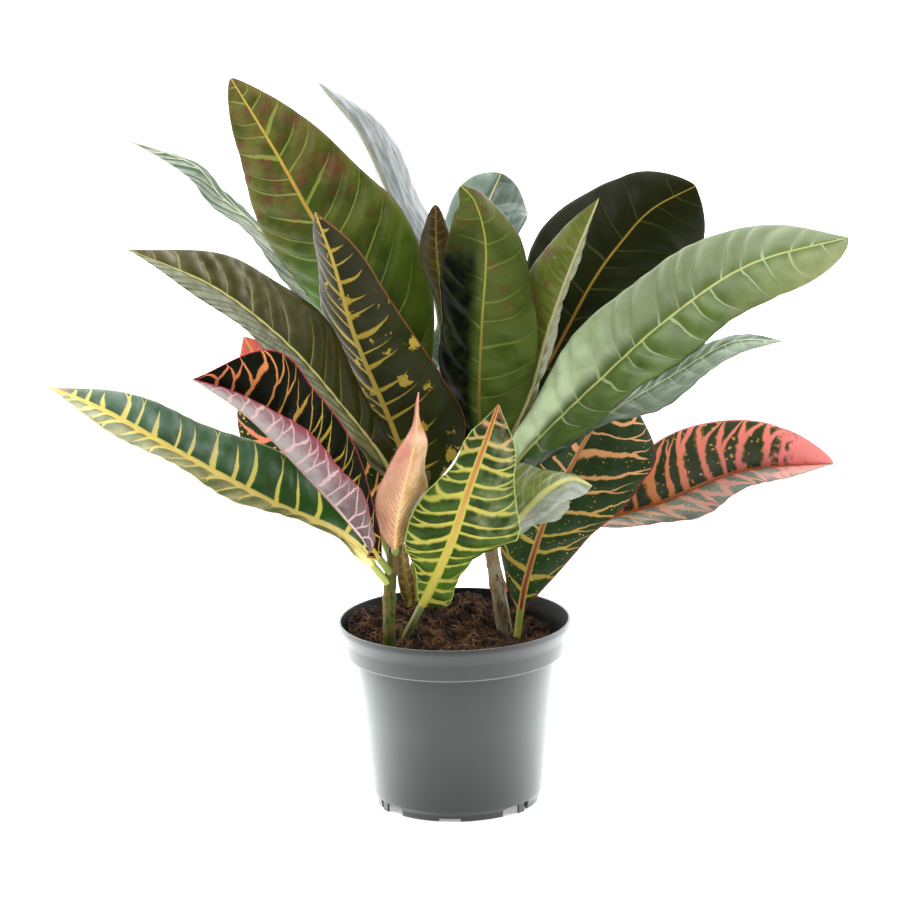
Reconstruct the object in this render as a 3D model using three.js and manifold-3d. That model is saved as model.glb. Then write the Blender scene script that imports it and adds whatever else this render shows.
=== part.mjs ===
// A croton in a round grey nursery pot, in millimetres, with +Z up.
// The origin is on the pot's axis, in the plane of its feet, and the best side faces -Y.
import * as THREE from 'three';
import { mergeVertices } from 'three/addons/utils/BufferGeometryUtils.js';
import Module from 'manifold-3d';

const wasm = await Module();
wasm.setup();

// Driving sizes of the pot
const rimRadius = 65;
const potHeight = 104;
const lipHeight = 4.5;
const collarHeight = 20;
const collarRadius = 62.3;
const collarFootRadius = 61.2;
const bodyTopRadius = 55.4;
const bodyFootRadius = 47.5;
const wall = 1.3;
const footHeight = 6;
const footRadius = 45.8;
const footWidth = 1.8;
const floorHeight = 3.2;
const padRadius = 18;
const potSides = 48;

// Driving sizes of the slots between the four feet, their small tabs and the notch under each foot.
// Places are degrees round the axis.
const slotPlaces = [35, 135, 215, 315];
const slotAngle = 24;
const tabPlaces = [30, 139, 210, 319];
const tabWidth = 4.5;
const tabHeight = 5.6;
const notchPlaces = [84, 174, 264, 354];
const notchWidth = 12;
const notchHeight = 1.7;
const drainPlaces = [20, 65, 110, 155, 200, 245, 290, 335];
const drainWidth = 7;
const drainRadius = 32;

// Driving sizes of the soil, the stems and the leaves
const fit = 0.3;
const soilLevel = 95;
const soilSides = 40;
const soilRings = 9;
const stemSides = 10;
const bladeThickness = 0.7;
const stalkRadius = 2.1;
const bladeStep = 11;
const tipWidth = 0.7;
const tipRings = [0.5, 0.2, 0.05];
const footShare = 0.05;
const foldShare = 0.15;
const columns = [-1, -0.5, 0, 0.5, 1];
const toFront = new THREE.Vector3(0, -1, 0);

// Heaps and hollows of the soil: centre, width of the bell and its height
const heaps = [
  { x: -20, y: 18, spread: 24, rise: 5 },
  { x: 4, y: 40, spread: 16, rise: 8 },
  { x: -48, y: -2, spread: 16, rise: 7 },
  { x: -47, y: 22, spread: 11, rise: 4 },
  { x: 48, y: 12, spread: 22, rise: -6 },
  { x: 0, y: -44, spread: 18, rise: -1 },
];

// Stems: points of the axis from the soil up, radius at its foot and at its top, height of the scars
const stems = {
  stem_left: {
    line: [[-31, -27, 62], [-36, -32, 98], [-34, -33, 143], [-27, -26, 166], [-15, -8, 186], [-9, 5, 201],
      [-5, 16, 216]],
    radius: [3.7, 2.5],
    scars: [0.36, 0.52, 0.6, 0.72, 0.86],
    colour: 0x6d7048,
  },
  stem_right: {
    line: [[31, 12, 60], [28, 12, 92], [25, 12, 115], [21, 12, 143], [21, 12, 172], [22, 14, 204]],
    radius: [4.9, 2.6],
    scars: [0.42, 0.58, 0.68, 0.78, 0.88],
    colour: 0x7c715a,
  },
};

// Leaves. line: points of the midrib from the foot of the stalk to the tip.
// wide: half width of the blade at even steps of its length, or a list for each half.
// foot: half widths right at the blade's foot, where it starts broad. blunt: how round each half ends.
// left, right: degrees that each half leans to the front, at the foot, middle and tip.
// stalk: share of the line that is bare stalk. on: the stem that it grows from.
const leaves = {
  leaf_tall_left: {
    line: [[-13, -3, 192], [-23, 18, 222], [-43, 36, 273], [-73, 48, 321], [-95, 60, 360],
      [-119, 78, 398]],
    wide: [[18, 33, 41, 33, 20], [23, 38, 44, 35, 22]], left: [-20, -38, 0], right: [0, -8, -10],
    stalk: 0.1, blunt: [0.3, 0.2], on: 'stem_left', colour: 0x56602c,
  },
  leaf_striped_left: {
    line: [[-20, -8, 152], [-23, -6, 180], [-31, -6, 213], [-51, -8, 266], [-62, -12, 310],
      [-71, -22, 340]],
    wide: [[20, 29, 30, 24, 15], [37, 36, 31, 24, 15]], left: [-40, -60, -45], right: [-10, -5, 0],
    stalk: 0.1, on: 'stem_left', colour: 0x2c3527,
  },
  leaf_olive_left: {
    line: [[-24, -20, 172], [-37, -20, 200], [-60, -27, 234], [-88, -38, 271], [-125, -50, 305],
      [-170, -60, 329]],
    wide: [16, 28, 34, 28, 17], left: [75, 80, 78], right: [-50, -54, -50], stalk: 0.08, bow: 0.04,
    on: 'stem_left', colour: 0x5b5d3c,
  },
  leaf_narrow_left: {
    line: [[-10, 3, 200], [-23, 34, 212], [-37, 66, 234], [-79, 89, 277], [-108, 100, 309],
      [-128, 104, 326], [-143, 107, 344], [-180, 112, 358]],
    wide: [10, 17, 19, 18, 14], left: [75, 76, 70], right: [-90, -92, -90], stalk: 0.1, bow: 0,
    on: 'stem_left', colour: 0x8c9c87,
  },
  leaf_pale_left: {
    line: [[-8, 12, 208], [-9, 29, 218], [-4, 41, 231], [-9, 54, 280], [-30, 66, 328], [-48.5, 78, 367],
      [-71, 86, 394]],
    wide: [11, 18, 26, 26, 19], left: [-95, -95, -76], right: [-66, -58, -59], stalk: 0.12,
    on: 'stem_left', colour: 0x97a39c,
  },
  leaf_young: {
    line: [[-4, 16, 214], [-1, 17, 232], [-3, 17, 262], [-4, 16, 288], [-6, 16, 310], [-6, 14, 336]],
    wide: [3, 6, 9, 9, 6], left: [10, 10, 10], right: [-20, -20, -20], stalk: 0.45, wave: [0.8, 2, 0],
    blunt: [0.5, 0.5], on: 'stem_left', colour: 0x4a3a2c,
  },
  leaf_back: {
    line: [[22, 14, 200], [27, 66, 233], [21, 104, 271], [22, 130, 306], [32, 150, 328]],
    wide: [[11, 21, 26, 26, 22], [9, 15, 16, 22, 25]], left: [-40, -30, -5], right: [30, 45, 5],
    stalk: 0.1, blunt: [0.7, 0.9], on: 'stem_right', colour: 0x5f7a66,
  },
  leaf_upright: {
    line: [[21, 12, 180], [16, -4, 222], [18, -12, 271], [21, -18, 317], [16, -18, 342], [8, -16, 352]],
    wide: [22, 30, 31, 27, 20], left: [-40, -42, 0], right: [0, -12, -65], stalk: 0.08, blunt: [0.3, 0.3],
    on: 'stem_right', colour: 0x4c5c2e,
  },
  leaf_mottled: {
    line: [[21, 12, 184], [43, 8, 226], [55, 4, 267], [68, 0, 304], [83, -4, 341]],
    wide: [[14, 23, 27, 22, 14], [12, 18, 20, 16, 10]], left: [-20, -35, -30], right: [-65, -78, -75],
    stalk: 0.1, on: 'stem_right', colour: 0x5a5436,
  },
  leaf_dark_right: {
    line: [[22, 14, 194], [54, 45, 236], [80, 58, 280], [98, 70, 302], [116, 78, 319], [141, 87, 330]],
    wide: [[9, 19, 40, 40, 27], [16, 30, 38, 43, 47]], left: [0, -24, -30], right: [-20, -10, 0],
    stalk: 0.1, blunt: [0.35, 1], on: 'stem_right', colour: 0x272d1c,
  },
  leaf_long_right: {
    line: [[21, 12, 170], [42, -4, 200], [82, -20, 243], [120, -36, 281], [162, -54, 313],
      [213, -70, 330]],
    wide: [[21, 34, 36, 32, 25], [21, 35, 37, 29, 23]], left: [-42, -50, -66], right: [75, 69, 20],
    stalk: 0.07, bow: 0.05, blunt: [0, 0.7], on: 'stem_right', colour: 0x74885f,
  },
  leaf_silver_right: {
    line: [[21, 12, 159], [52, 8, 195], [88, 4, 219], [121, -2, 240], [154, -8, 260], [182, -14, 262]],
    wide: [[9, 19, 25, 24, 14], [9, 14, 26, 32, 18]], left: [-90, -88, -80], right: [88, 84, 72],
    stalk: 0.07, bow: 0, on: 'stem_right', colour: 0x7d9482,
  },
  leaf_pink_tip_right: {
    line: [[25, 12, 114], [52, 36, 132], [83, 38, 147], [117, 32, 159], [161, 22, 179], [212, 6, 187]],
    wide: [10, 27, 34, 31, 22], left: [-30, -18, -16], right: [112, 81, 90], stalk: 0.2, blunt: [0.4, 0],
    on: 'stem_right', colour: 0xa85a48,
  },
  leaf_orange_vein_right: {
    line: [[31, -12, 62], [34, -2, 88], [40, 10, 120], [52, 19, 155], [66, 28, 181], [80, 36, 204],
      [96, 41, 229]],
    wide: [[17, 26, 31, 30, 24], [15, 25, 35, 40, 37]], left: [-35, -8, 10], right: [0, 22, 10],
    stalk: 0.25, colour: 0x3c3a22,
  },
  leaf_small_folded: {
    line: [[21, 12, 140], [37, -15, 164], [51, -27, 182], [65, -36, 192], [76, -44, 190]],
    wide: [[20, 27, 25, 11, 3], [7, 10, 16, 18, 15]], left: [-25, -30, -40], right: [80, 50, 30],
    stalk: 0.2, blunt: [0, 0.9], on: 'stem_right', colour: 0x98a877,
  },
  leaf_front_yellow: {
    line: [[-40, -4, 70], [-29, -14, 95], [-14, -30, 128], [-1, -46, 161], [9, -57, 193], [19, -61, 221],
      [26, -58, 240]],
    wide: [[11, 23, 26, 20, 12, 10], [15, 23, 35, 30, 23, 16]], left: [0, 4, -36],
    right: [-40, -15, -10], stalk: 0.3, foot: [3, 14], wave: [4, 2.5, 0.1], colour: 0x8d9646,
  },
  leaf_front_pink: {
    line: [[-32, -31, 149], [-31, -48, 168], [-27, -54, 190], [-20, -52, 217], [-17, -48, 245]],
    wide: [[11, 14, 13, 8, 3], [14, 23, 22, 12, 3]], left: [-20, -25, -40], right: [-50, -58, -20],
    stalk: 0.1, on: 'stem_left', colour: 0xd98f72,
  },
  leaf_purple_left: {
    line: [[-34, -33, 139], [-50, -54, 168], [-76, -69, 203], [-107, -83, 241], [-136, -92, 265]],
    wide: [[15, 28, 34, 31, 24], [14, 26, 33, 35, 36]], left: [128, 132, 122], right: [-10, -14, -8],
    stalk: 0.1, bow: 0.04, on: 'stem_left', colour: 0x7c4a52,
  },
  leaf_broad_left: {
    line: [[-33, -32, 145], [-46, -10, 170], [-72, -6, 203], [-96, -2, 237], [-113, 6, 266]],
    wide: [[22, 37, 39, 34, 21], [19, 32, 34, 32, 22]], left: [-30, -18, -20], right: [10, 10, 10],
    stalk: 0.12, on: 'stem_left', colour: 0x46492c,
  },
  leaf_long_left: {
    line: [[-34, -33, 132], [-59, -45, 163], [-99, -60, 187], [-146, -70, 218], [-185, -72, 243],
      [-215, -66, 256]],
    wide: [[9, 25, 28, 24, 16], [24, 31, 29, 24, 16]], left: [105, 92, 72], right: [-20, -46, -40], stalk: 0.08, on: 'stem_left',
    colour: 0x5a6a34,
  },
  leaf_silver_back: {
    line: [[21, 12, 162], [6, 44, 205], [4, 58, 237], [4, 68, 265], [5, 76, 285]],
    wide: [7, 13, 15, 13, 9], left: [-20, -20, -20], right: [-20, -20, -20], stalk: 0.2, on: 'stem_right',
    colour: 0x70887a,
  },
  leaf_cream_back: {
    line: [[21, 12, 178], [29, 29, 190], [38, 44, 201], [51, 60, 226], [63, 72, 249]],
    wide: [6, 10, 12, 10, 6], left: [-20, -20, -20], right: [-20, -20, -20], stalk: 0.2, on: 'stem_right',
    colour: 0xb4a968,
  },
  leaf_low_brown: {
    line: [[-30, 26, 70], [-25, 34, 99], [-26, 34, 112], [-28, 33, 126], [-29, 32, 142]],
    wide: [4, 5, 5, 4, 3], left: [20, 20, 20], right: [20, 20, 20], stalk: 0.44, wave: [0.6, 2, 0],
    colour: 0x6b4a30,
  },
  leaf_low_green: {
    line: [[-26, 40, 72], [-21, 47, 98], [-19, 49, 112], [-17, 51, 126], [-16, 53, 138]],
    wide: [5, 7, 7, 6, 4], left: [0, 0, 0], right: [0, 0, 0], stalk: 0.42, wave: [0.8, 2, 0],
    colour: 0x7f8a3c,
  },
};

const plant = new THREE.Group();

function addPiece(name, geometry, colour, roughness) {
  const material = new THREE.MeshStandardMaterial({ color: colour, roughness, metalness: 0 });
  const piece = new THREE.Mesh(geometry, material);
  piece.name = name;
  plant.add(piece);
}

// A geometry as a closed solid that can be cut and joined.
function toSolid(geometry) {
  const bare = geometry.clone();
  bare.deleteAttribute('normal');
  bare.deleteAttribute('uv');
  const merged = mergeVertices(bare, 1e-4);
  return new wasm.Manifold(new wasm.Mesh({
    numProp: 3,
    vertProperties: new Float32Array(merged.attributes.position.array),
    triVerts: new Uint32Array(merged.index.array),
  }));
}

function toGeometry(solid) {
  const mesh = solid.getMesh();
  const geometry = new THREE.BufferGeometry();
  geometry.setAttribute('position', new THREE.BufferAttribute(new Float32Array(mesh.vertProperties), 3));
  geometry.setIndex(new THREE.BufferAttribute(new Uint32Array(mesh.triVerts), 1));
  geometry.computeVertexNormals();
  return geometry;
}

// A profile of [radius, height] pairs turned round the Z axis.
function turned(profile, sides) {
  const points = profile.map(([radius, height]) => new THREE.Vector2(radius, height));
  const geometry = new THREE.LatheGeometry(points, sides);
  geometry.rotateX(Math.PI / 2);
  return geometry;
}

function smoothCurve(line) {
  const points = line.map(([x, y, z]) => new THREE.Vector3(x, y, z));
  return new THREE.CatmullRomCurve3(points, false, 'catmullrom');
}

// A smooth run through a few even values, as a function of 0 to 1.
function smoothRun(values) {
  const curve = smoothCurve(values.map((value) => [value, 0, 0]));
  return (share) => curve.getPoint(share).x;
}

// The curve's point, its direction, the way across it to the right and the way to the front.
function frameAt(curve, share) {
  const centre = curve.getPointAt(share);
  const ahead = curve.getTangentAt(share);
  const across = new THREE.Vector3().crossVectors(ahead, toFront).normalize();
  const front = new THREE.Vector3().crossVectors(across, ahead);
  return { centre, ahead, across, front };
}

// Blocks of one size, one at each place round the axis.
function blocksAt(places, size, radius, height) {
  return places.map((place) => {
    const block = new THREE.BoxGeometry(size.x, size.y, size.z);
    block.translate(radius, 0, height);
    block.rotateZ(THREE.MathUtils.degToRad(place));
    return toSolid(block);
  });
}

function makePot() {
  const bodyTop = potHeight - collarHeight;
  const underCollar = bodyTop + 0.6;
  const lipFoot = potHeight - lipHeight - 2;
  const inside = footHeight + 0.5;
  const profile = [
    [0, 0],
    [padRadius, 0],
    [padRadius + 1, floorHeight],
    [footRadius - footWidth - 0.6, floorHeight],
    [footRadius - footWidth, 0],
    [footRadius, 0],
    [footRadius + 0.4, footHeight - 2.2],
    [bodyFootRadius, footHeight],
    [bodyTopRadius, bodyTop],
    [collarFootRadius, underCollar],
    [collarRadius, lipFoot - 3],
    [rimRadius - 1.6, lipFoot],
    [rimRadius, potHeight - 2.6],
    [rimRadius - 0.4, potHeight],
    [rimRadius - 1.4, potHeight],
    [collarRadius - wall, lipFoot - 2],
    [collarFootRadius - wall, underCollar + wall],
    [bodyTopRadius - wall, bodyTop + wall],
    [bodyFootRadius - wall, inside],
    [bodyFootRadius - wall - 1.4, floorHeight + wall],
    [padRadius, floorHeight + wall],
    [padRadius - 1, wall],
    [0, wall],
  ];
  const slotLength = 2 * bodyFootRadius * Math.sin(THREE.MathUtils.degToRad(slotAngle / 2));
  const slot = new THREE.Vector3(6, slotLength, 2 * (footHeight - 1));
  const notch = new THREE.Vector3(6, notchWidth, 2 * notchHeight);
  const drain = new THREE.Vector3(12, drainWidth, 6);
  const tab = new THREE.Vector3(wall, tabWidth, tabHeight);
  const cuts = [
    ...blocksAt(slotPlaces, slot, footRadius, 0),
    ...blocksAt(notchPlaces, notch, footRadius, 0),
    ...blocksAt(drainPlaces, drain, drainRadius, floorHeight + 1),
  ];
  const bare = wasm.Manifold.difference([toSolid(turned(profile, potSides)), ...cuts]);
  const tabs = blocksAt(tabPlaces, tab, footRadius + 0.35, tabHeight / 2);
  return toGeometry(wasm.Manifold.union([bare, ...tabs]));
}

// Height of the soil: a level with bell-shaped heaps and a small unevenness on it.
function soilHeight(x, y) {
  let height = soilLevel;
  for (const heap of heaps) {
    const away = ((x - heap.x) ** 2 + (y - heap.y) ** 2) / (2 * heap.spread ** 2);
    height += heap.rise * Math.exp(-away);
  }
  return height + 0.7 * Math.sin(x / 4.1 + 1) * Math.cos(y / 4.7) + 0.5 * Math.sin(x / 2.3 - y / 3.1);
}

function makeSoil() {
  const bodyTop = potHeight - collarHeight;
  const edge = collarFootRadius - wall - fit;
  const profile = [
    [0, wall + fit],
    [padRadius - 1.2, wall + fit],
    [padRadius - 0.2, floorHeight + wall + fit],
    [bodyFootRadius - wall - 1.7, floorHeight + wall + fit],
    [bodyFootRadius - wall - fit, footHeight + 0.8],
    [bodyTopRadius - wall - fit, bodyTop + wall + 1],
    [edge, bodyTop + 2 * wall + 1],
  ];
  for (let ring = 0; ring <= soilRings; ring += 1) {
    profile.push([edge * (1 - ring / soilRings), soilLevel]);
  }
  const geometry = turned(profile, soilSides);
  const place = geometry.attributes.position;
  for (let i = 0; i < place.count; i += 1) {
    if (place.getZ(i) > soilLevel - 0.01) {
      place.setZ(i, soilHeight(place.getX(i), place.getY(i)));
    }
  }
  return geometry;
}

// A round rod whose radius is a function of the share along a curve, with domed ends.
function rodAlong(curve, radiusAt, steps) {
  const profile = [[0, 0]];
  for (let i = 0; i <= steps; i += 1) {
    profile.push([radiusAt(i / steps), i / steps]);
  }
  profile.push([0, 1]);
  const geometry = turned(profile, stemSides);
  const place = geometry.attributes.position;
  for (let i = 0; i < place.count; i += 1) {
    const frame = frameAt(curve, THREE.MathUtils.clamp(place.getZ(i), 0, 1));
    const point = frame.centre
      .addScaledVector(frame.across, place.getX(i))
      .addScaledVector(frame.front, -place.getY(i));
    place.setXYZ(i, point.x, point.y, point.z);
  }
  return geometry;
}

// A stem: it tapers, swells a little at each leaf scar and closes at its top.
function makeStem(stem, extra) {
  const [foot, top] = stem.radius;
  const radiusAt = (share) => {
    let radius = foot + (top - foot) * share + extra;
    for (const scar of stem.scars) {
      radius += 0.7 * Math.exp(-(((share - scar) / 0.02) ** 2));
    }
    return share > 0.99 ? radius * 0.5 : radius;
  };
  return rodAlong(smoothCurve(stem.line), radiusAt, 30);
}

// A leaf: rings of points along the midrib, each with the blade's upper and lower face.
function makeLeaf(leaf) {
  const curve = smoothCurve(leaf.line);
  const length = curve.getLength();
  const widths = Array.isArray(leaf.wide[0]) ? leaf.wide : [leaf.wide, leaf.wide];
  const foot = leaf.foot ?? [stalkRadius, stalkRadius];
  const leanAt = { left: smoothRun(leaf.left), right: smoothRun(leaf.right) };
  const [waveHeight, waveCount, wavePhase] = leaf.wave ?? [2, 3, 0];
  const bow = leaf.bow ?? 0.08;
  const blunt = leaf.blunt ?? [0, 0];
  const runs = widths.map((list, index) => smoothRun([foot[index], ...list, tipWidth]));
  const lastStep = widths[0].length / (widths[0].length + 1);
  // Half width of one half: the smooth run, opened at the foot and rounded off at a blunt end.
  const widthAt = (along, index) => {
    const end = THREE.MathUtils.clamp((along - lastStep) / (1 - lastStep), 0, 1);
    const rounded = Math.max(widths[index].at(-1) * Math.sqrt(1 - end ** 2), tipWidth);
    const plain = Math.max(runs[index](along), tipWidth);
    const width = end > 0 ? THREE.MathUtils.lerp(plain, rounded, blunt[index]) : plain;
    const opening = leaf.foot ? THREE.MathUtils.smoothstep(along, 0, footShare) : 1;
    return stalkRadius + (width - stalkRadius) * opening;
  };
  const shares = [];
  const stalkSteps = Math.max(2, Math.round((length * leaf.stalk) / bladeStep));
  for (let i = 0; i < stalkSteps; i += 1) {
    shares.push((leaf.stalk * i) / stalkSteps);
  }
  const steps = Math.round((length * (1 - leaf.stalk)) / bladeStep);
  for (let i = 0; i <= steps; i += 1) {
    const share = Math.min(leaf.stalk + ((1 - leaf.stalk) * i) / steps, 1);
    if (i === steps && leaf.blunt) {
      shares.push(...tipRings.map((part) => share - (part * (1 - leaf.stalk)) / steps));
    }
    shares.push(share);
    if (i === 0 && leaf.foot) {
      shares.push(leaf.stalk + footShare * (1 - leaf.stalk));
    }
  }
  const vertices = [];
  for (const share of shares) {
    const frame = frameAt(curve, share);
    const along = THREE.MathUtils.clamp((share - leaf.stalk) / (1 - leaf.stalk), 0, 1);
    const opened = THREE.MathUtils.smoothstep(along, 0, foldShare);
    const rib = stalkRadius * (1 - 0.75 * along ** 0.7);
    const lower = [];
    for (const column of columns) {
      const side = column < 0 ? -1 : 1;
      const part = Math.abs(column);
      const width = widthAt(along, side < 0 ? 0 : 1);
      const leans = column === 0 ? [leanAt.left(along), leanAt.right(along)]
        : [column < 0 ? leanAt.left(along) : leanAt.right(along)];
      const normal = new THREE.Vector3();
      leans.forEach((lean, index) => {
        const angle = THREE.MathUtils.degToRad(lean) * opened;
        const way = column === 0 ? 2 * index - 1 : side;
        normal.addScaledVector(frame.front, Math.cos(angle));
        normal.addScaledVector(frame.across, -way * Math.sin(angle));
      });
      normal.normalize();
      const angle = THREE.MathUtils.degToRad(leans[0]) * opened;
      const out = frame.across.clone().multiplyScalar(side * Math.cos(angle));
      out.addScaledVector(frame.front, Math.sin(angle));
      const turn = 2 * Math.PI * (waveCount * along + wavePhase + (side < 0 ? 0.3 : 0));
      const ripple = waveHeight * Math.sin(Math.PI * along) ** 0.7 * part ** 1.6 * Math.sin(turn);
      const rise = bow * width * 4 * part * (1 - part) + ripple;
      const point = frame.centre.clone().addScaledVector(out, width * part).addScaledVector(normal, rise);
      const round = Math.sqrt(Math.max(rib ** 2 - (width * part) ** 2, 0));
      const above = Math.max(bladeThickness / 2, round * (1 - 0.7 * opened));
      const below = Math.max(bladeThickness / 2, round);
      vertices.push(point.clone().addScaledVector(normal, above));
      lower.push(point.clone().addScaledVector(normal, -below));
    }
    vertices.push(...lower);
  }
  const last = columns.length - 1;
  const ring = 2 * columns.length;
  const index = [];
  for (let i = 0; i < shares.length - 1; i += 1) {
    for (let j = 0; j < last; j += 1) {
      const a = i * ring + j;
      const b = a + columns.length;
      index.push(a, a + 1, a + ring + 1, a, a + ring + 1, a + ring);
      index.push(b, b + ring + 1, b + 1, b, b + ring, b + ring + 1);
    }
    const start = i * ring;
    const end = start + last;
    const under = columns.length;
    index.push(start, start + ring, start + ring + under, start, start + ring + under, start + under);
    index.push(end, end + ring + under, end + ring, end, end + under, end + ring + under);
  }
  const tip = (shares.length - 1) * ring;
  for (let j = 0; j < last; j += 1) {
    const under = j + columns.length;
    index.push(j, under, under + 1, j, under + 1, j + 1);
    index.push(tip + j, tip + under + 1, tip + under, tip + j, tip + j + 1, tip + under + 1);
  }
  const geometry = new THREE.BufferGeometry().setFromPoints(vertices);
  geometry.setIndex(index);
  return geometry;
}

addPiece('pot', makePot(), 0x5f6364, 0.55);

let soil = toSolid(makeSoil());
const sockets = {};
for (const [name, stem] of Object.entries(stems)) {
  sockets[name] = toSolid(makeStem(stem, fit));
  soil = soil.subtract(sockets[name]);
  addPiece(name, makeStem(stem, 0), stem.colour, 0.7);
}
for (const [name, leaf] of Object.entries(leaves)) {
  if (leaf.on) {
    const whole = toSolid(makeLeaf(leaf));
    const pieces = whole.subtract(sockets[leaf.on]).decompose();
    pieces.sort((a, b) => b.volume() - a.volume());
    addPiece(name, toGeometry(pieces[0]), leaf.colour, 0.45);
  } else {
    const curve = smoothCurve(leaf.line);
    soil = soil.subtract(toSolid(rodAlong(curve, () => stalkRadius + 2 * fit, 24)));
    addPiece(name, makeLeaf(leaf), leaf.colour, 0.45);
  }
}
addPiece('soil', toGeometry(soil), 0x2b1d16, 0.95);

export default plant;
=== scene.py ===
import bpy
import numpy as np
from mathutils import Matrix, Vector
from types import SimpleNamespace


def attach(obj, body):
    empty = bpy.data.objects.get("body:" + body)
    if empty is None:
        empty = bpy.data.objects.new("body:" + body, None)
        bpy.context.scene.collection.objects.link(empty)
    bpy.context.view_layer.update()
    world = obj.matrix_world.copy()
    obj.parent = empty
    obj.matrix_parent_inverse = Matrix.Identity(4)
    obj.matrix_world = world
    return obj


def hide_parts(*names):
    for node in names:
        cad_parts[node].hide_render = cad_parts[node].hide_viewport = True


# A croton in a grey nursery pot: leaves, stems, peat and pot as fine meshes round the CAD frame
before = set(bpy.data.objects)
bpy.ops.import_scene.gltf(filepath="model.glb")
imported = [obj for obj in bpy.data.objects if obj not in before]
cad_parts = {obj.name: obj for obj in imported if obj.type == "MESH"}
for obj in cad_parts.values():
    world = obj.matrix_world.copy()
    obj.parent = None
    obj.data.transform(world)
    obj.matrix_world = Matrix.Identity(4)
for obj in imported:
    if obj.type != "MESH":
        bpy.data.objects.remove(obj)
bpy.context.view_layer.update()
scene = bpy.context.scene
mm = 0.001  # the dictionaries below are in millimetres, and the meshes in metres


# Colours

def paint(code):
    # a web colour such as "56602c" as the linear colour that a shader takes
    parts = np.array([int(code[i:i + 2], 16) for i in (0, 2, 4)]) / 255
    linear = np.where(parts <= 0.04045, parts / 12.92, ((parts + 0.055) / 1.055) ** 2.4)
    return (*linear.tolist(), 1.0)


# Small steps for building shader nodes

def startMaterial(name):
    material = bpy.data.materials.new(name)
    material.use_nodes = True
    return material, material.node_tree, material.node_tree.nodes["Principled BSDF"]


def plug(tree, socket, value):
    # a link where the value is another node's socket, and otherwise a plain number or colour
    if isinstance(value, bpy.types.NodeSocket):
        tree.links.new(value, socket)
    else:
        socket.default_value = value


def calc(tree, operation, *values):
    step = tree.nodes.new("ShaderNodeMath")
    step.operation = operation
    for socket, value in zip(step.inputs, values):
        plug(tree, socket, value)
    return step.outputs[0]


def blendColours(tree, amount, first, second):
    step = tree.nodes.new("ShaderNodeMix")
    step.data_type = "RGBA"
    plug(tree, step.inputs["Factor"], amount)
    plug(tree, step.inputs["A"], first)
    plug(tree, step.inputs["B"], second)
    return step.outputs["Result"]


def rampBetween(tree, value, low, high):
    # 0 below low and 1 above high, or the other way round where low is the larger one
    step = tree.nodes.new("ShaderNodeMapRange")
    step.interpolation_type = "SMOOTHSTEP"
    plug(tree, step.inputs["Value"], value)
    plug(tree, step.inputs["From Min"], low)
    plug(tree, step.inputs["From Max"], high)
    return step.outputs["Result"]


def joined(tree, x, y, z):
    step = tree.nodes.new("ShaderNodeCombineXYZ")
    for socket, value in zip(step.inputs, (x, y, z)):
        plug(tree, socket, value)
    return step.outputs[0]


def parted(tree, vector):
    step = tree.nodes.new("ShaderNodeSeparateXYZ")
    plug(tree, step.inputs[0], vector)
    return step.outputs


def readAttribute(tree, name):
    step = tree.nodes.new("ShaderNodeAttribute")
    step.attribute_name = name
    return step


def cloud(tree, vector, scale, detail=3.0, rough=0.55):
    step = tree.nodes.new("ShaderNodeTexNoise")
    step.inputs["Scale"].default_value = scale
    step.inputs["Detail"].default_value = detail
    step.inputs["Roughness"].default_value = rough
    plug(tree, step.inputs["Vector"], vector)
    return step.outputs["Fac"]


def objectPlace(tree):
    return tree.nodes.new("ShaderNodeTexCoord").outputs["Object"]


def addBump(tree, shader, height, depth):
    bump = tree.nodes.new("ShaderNodeBump")
    bump.inputs["Distance"].default_value = depth
    plug(tree, bump.inputs["Height"], height)
    plug(tree, shader.inputs["Normal"], bump.outputs["Normal"])


# Curves and meshes

def smoothThrough(values, share):
    # a Catmull-Rom curve through the values, with share 0 at the first one and 1 at the last one
    values = np.asarray(values, float)
    table = values.reshape(len(values), -1)  # one row for each value or point
    walk = np.clip(share, 0, 1) * (len(table) - 1)
    low = np.minimum(np.floor(walk).astype(int), len(table) - 2)
    rest = (walk - low)[:, None]
    padded = np.vstack([2 * table[0] - table[1], table, 2 * table[-1] - table[-2]])
    before, start, end, after = (padded[low + k] for k in range(4))
    slopeIn = 0.5 * (end - before)
    slopeOut = 0.5 * (after - start)
    curve = ((2 * start - 2 * end + slopeIn + slopeOut) * rest ** 3
             + (3 * end - 3 * start - 2 * slopeIn - slopeOut) * rest ** 2 + slopeIn * rest + start)
    return curve[:, 0] if values.ndim == 1 else curve


def evenWalk(line, share):
    # the curve through the line's points, walked at an even speed, and its length
    stations = np.linspace(0, 1, 241)
    fine = smoothThrough(line, stations)
    reach = np.r_[0, np.cumsum(np.linalg.norm(np.diff(fine, axis=0), axis=1))]
    at = np.interp(np.clip(share, 0, 1) * reach[-1], reach, stations)
    return smoothThrough(line, at), reach[-1]


def unit(vectors):
    return vectors / np.maximum(np.linalg.norm(vectors, axis=-1, keepdims=True), 1e-12)


def wayAlong(line, share):
    # at each share: the point, the way across to the right and the way to the front; and the line's length
    step = 0.004
    place, length = evenWalk(line, share)
    ahead = unit(evenWalk(line, share + step)[0] - evenWalk(line, share - step)[0])
    across = unit(np.cross(ahead, [0.0, -1.0, 0.0]))
    return place, across, np.cross(across, ahead), length


def smoothRise(value, low, high):
    rise = np.clip((value - low) / (high - low), 0, 1)
    return rise * rise * (3 - 2 * rise)


def gridFaces(rows, columns, closed=False):
    # quads between neighbouring points of a grid of rows by columns
    around = columns if closed else columns - 1
    row, column = np.meshgrid(np.arange(rows - 1), np.arange(around), indexing="ij")
    nextColumn = (column + 1) % columns
    return np.stack([row * columns + column, row * columns + nextColumn,
                     (row + 1) * columns + nextColumn, (row + 1) * columns + column], -1).reshape(-1, 4)


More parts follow.
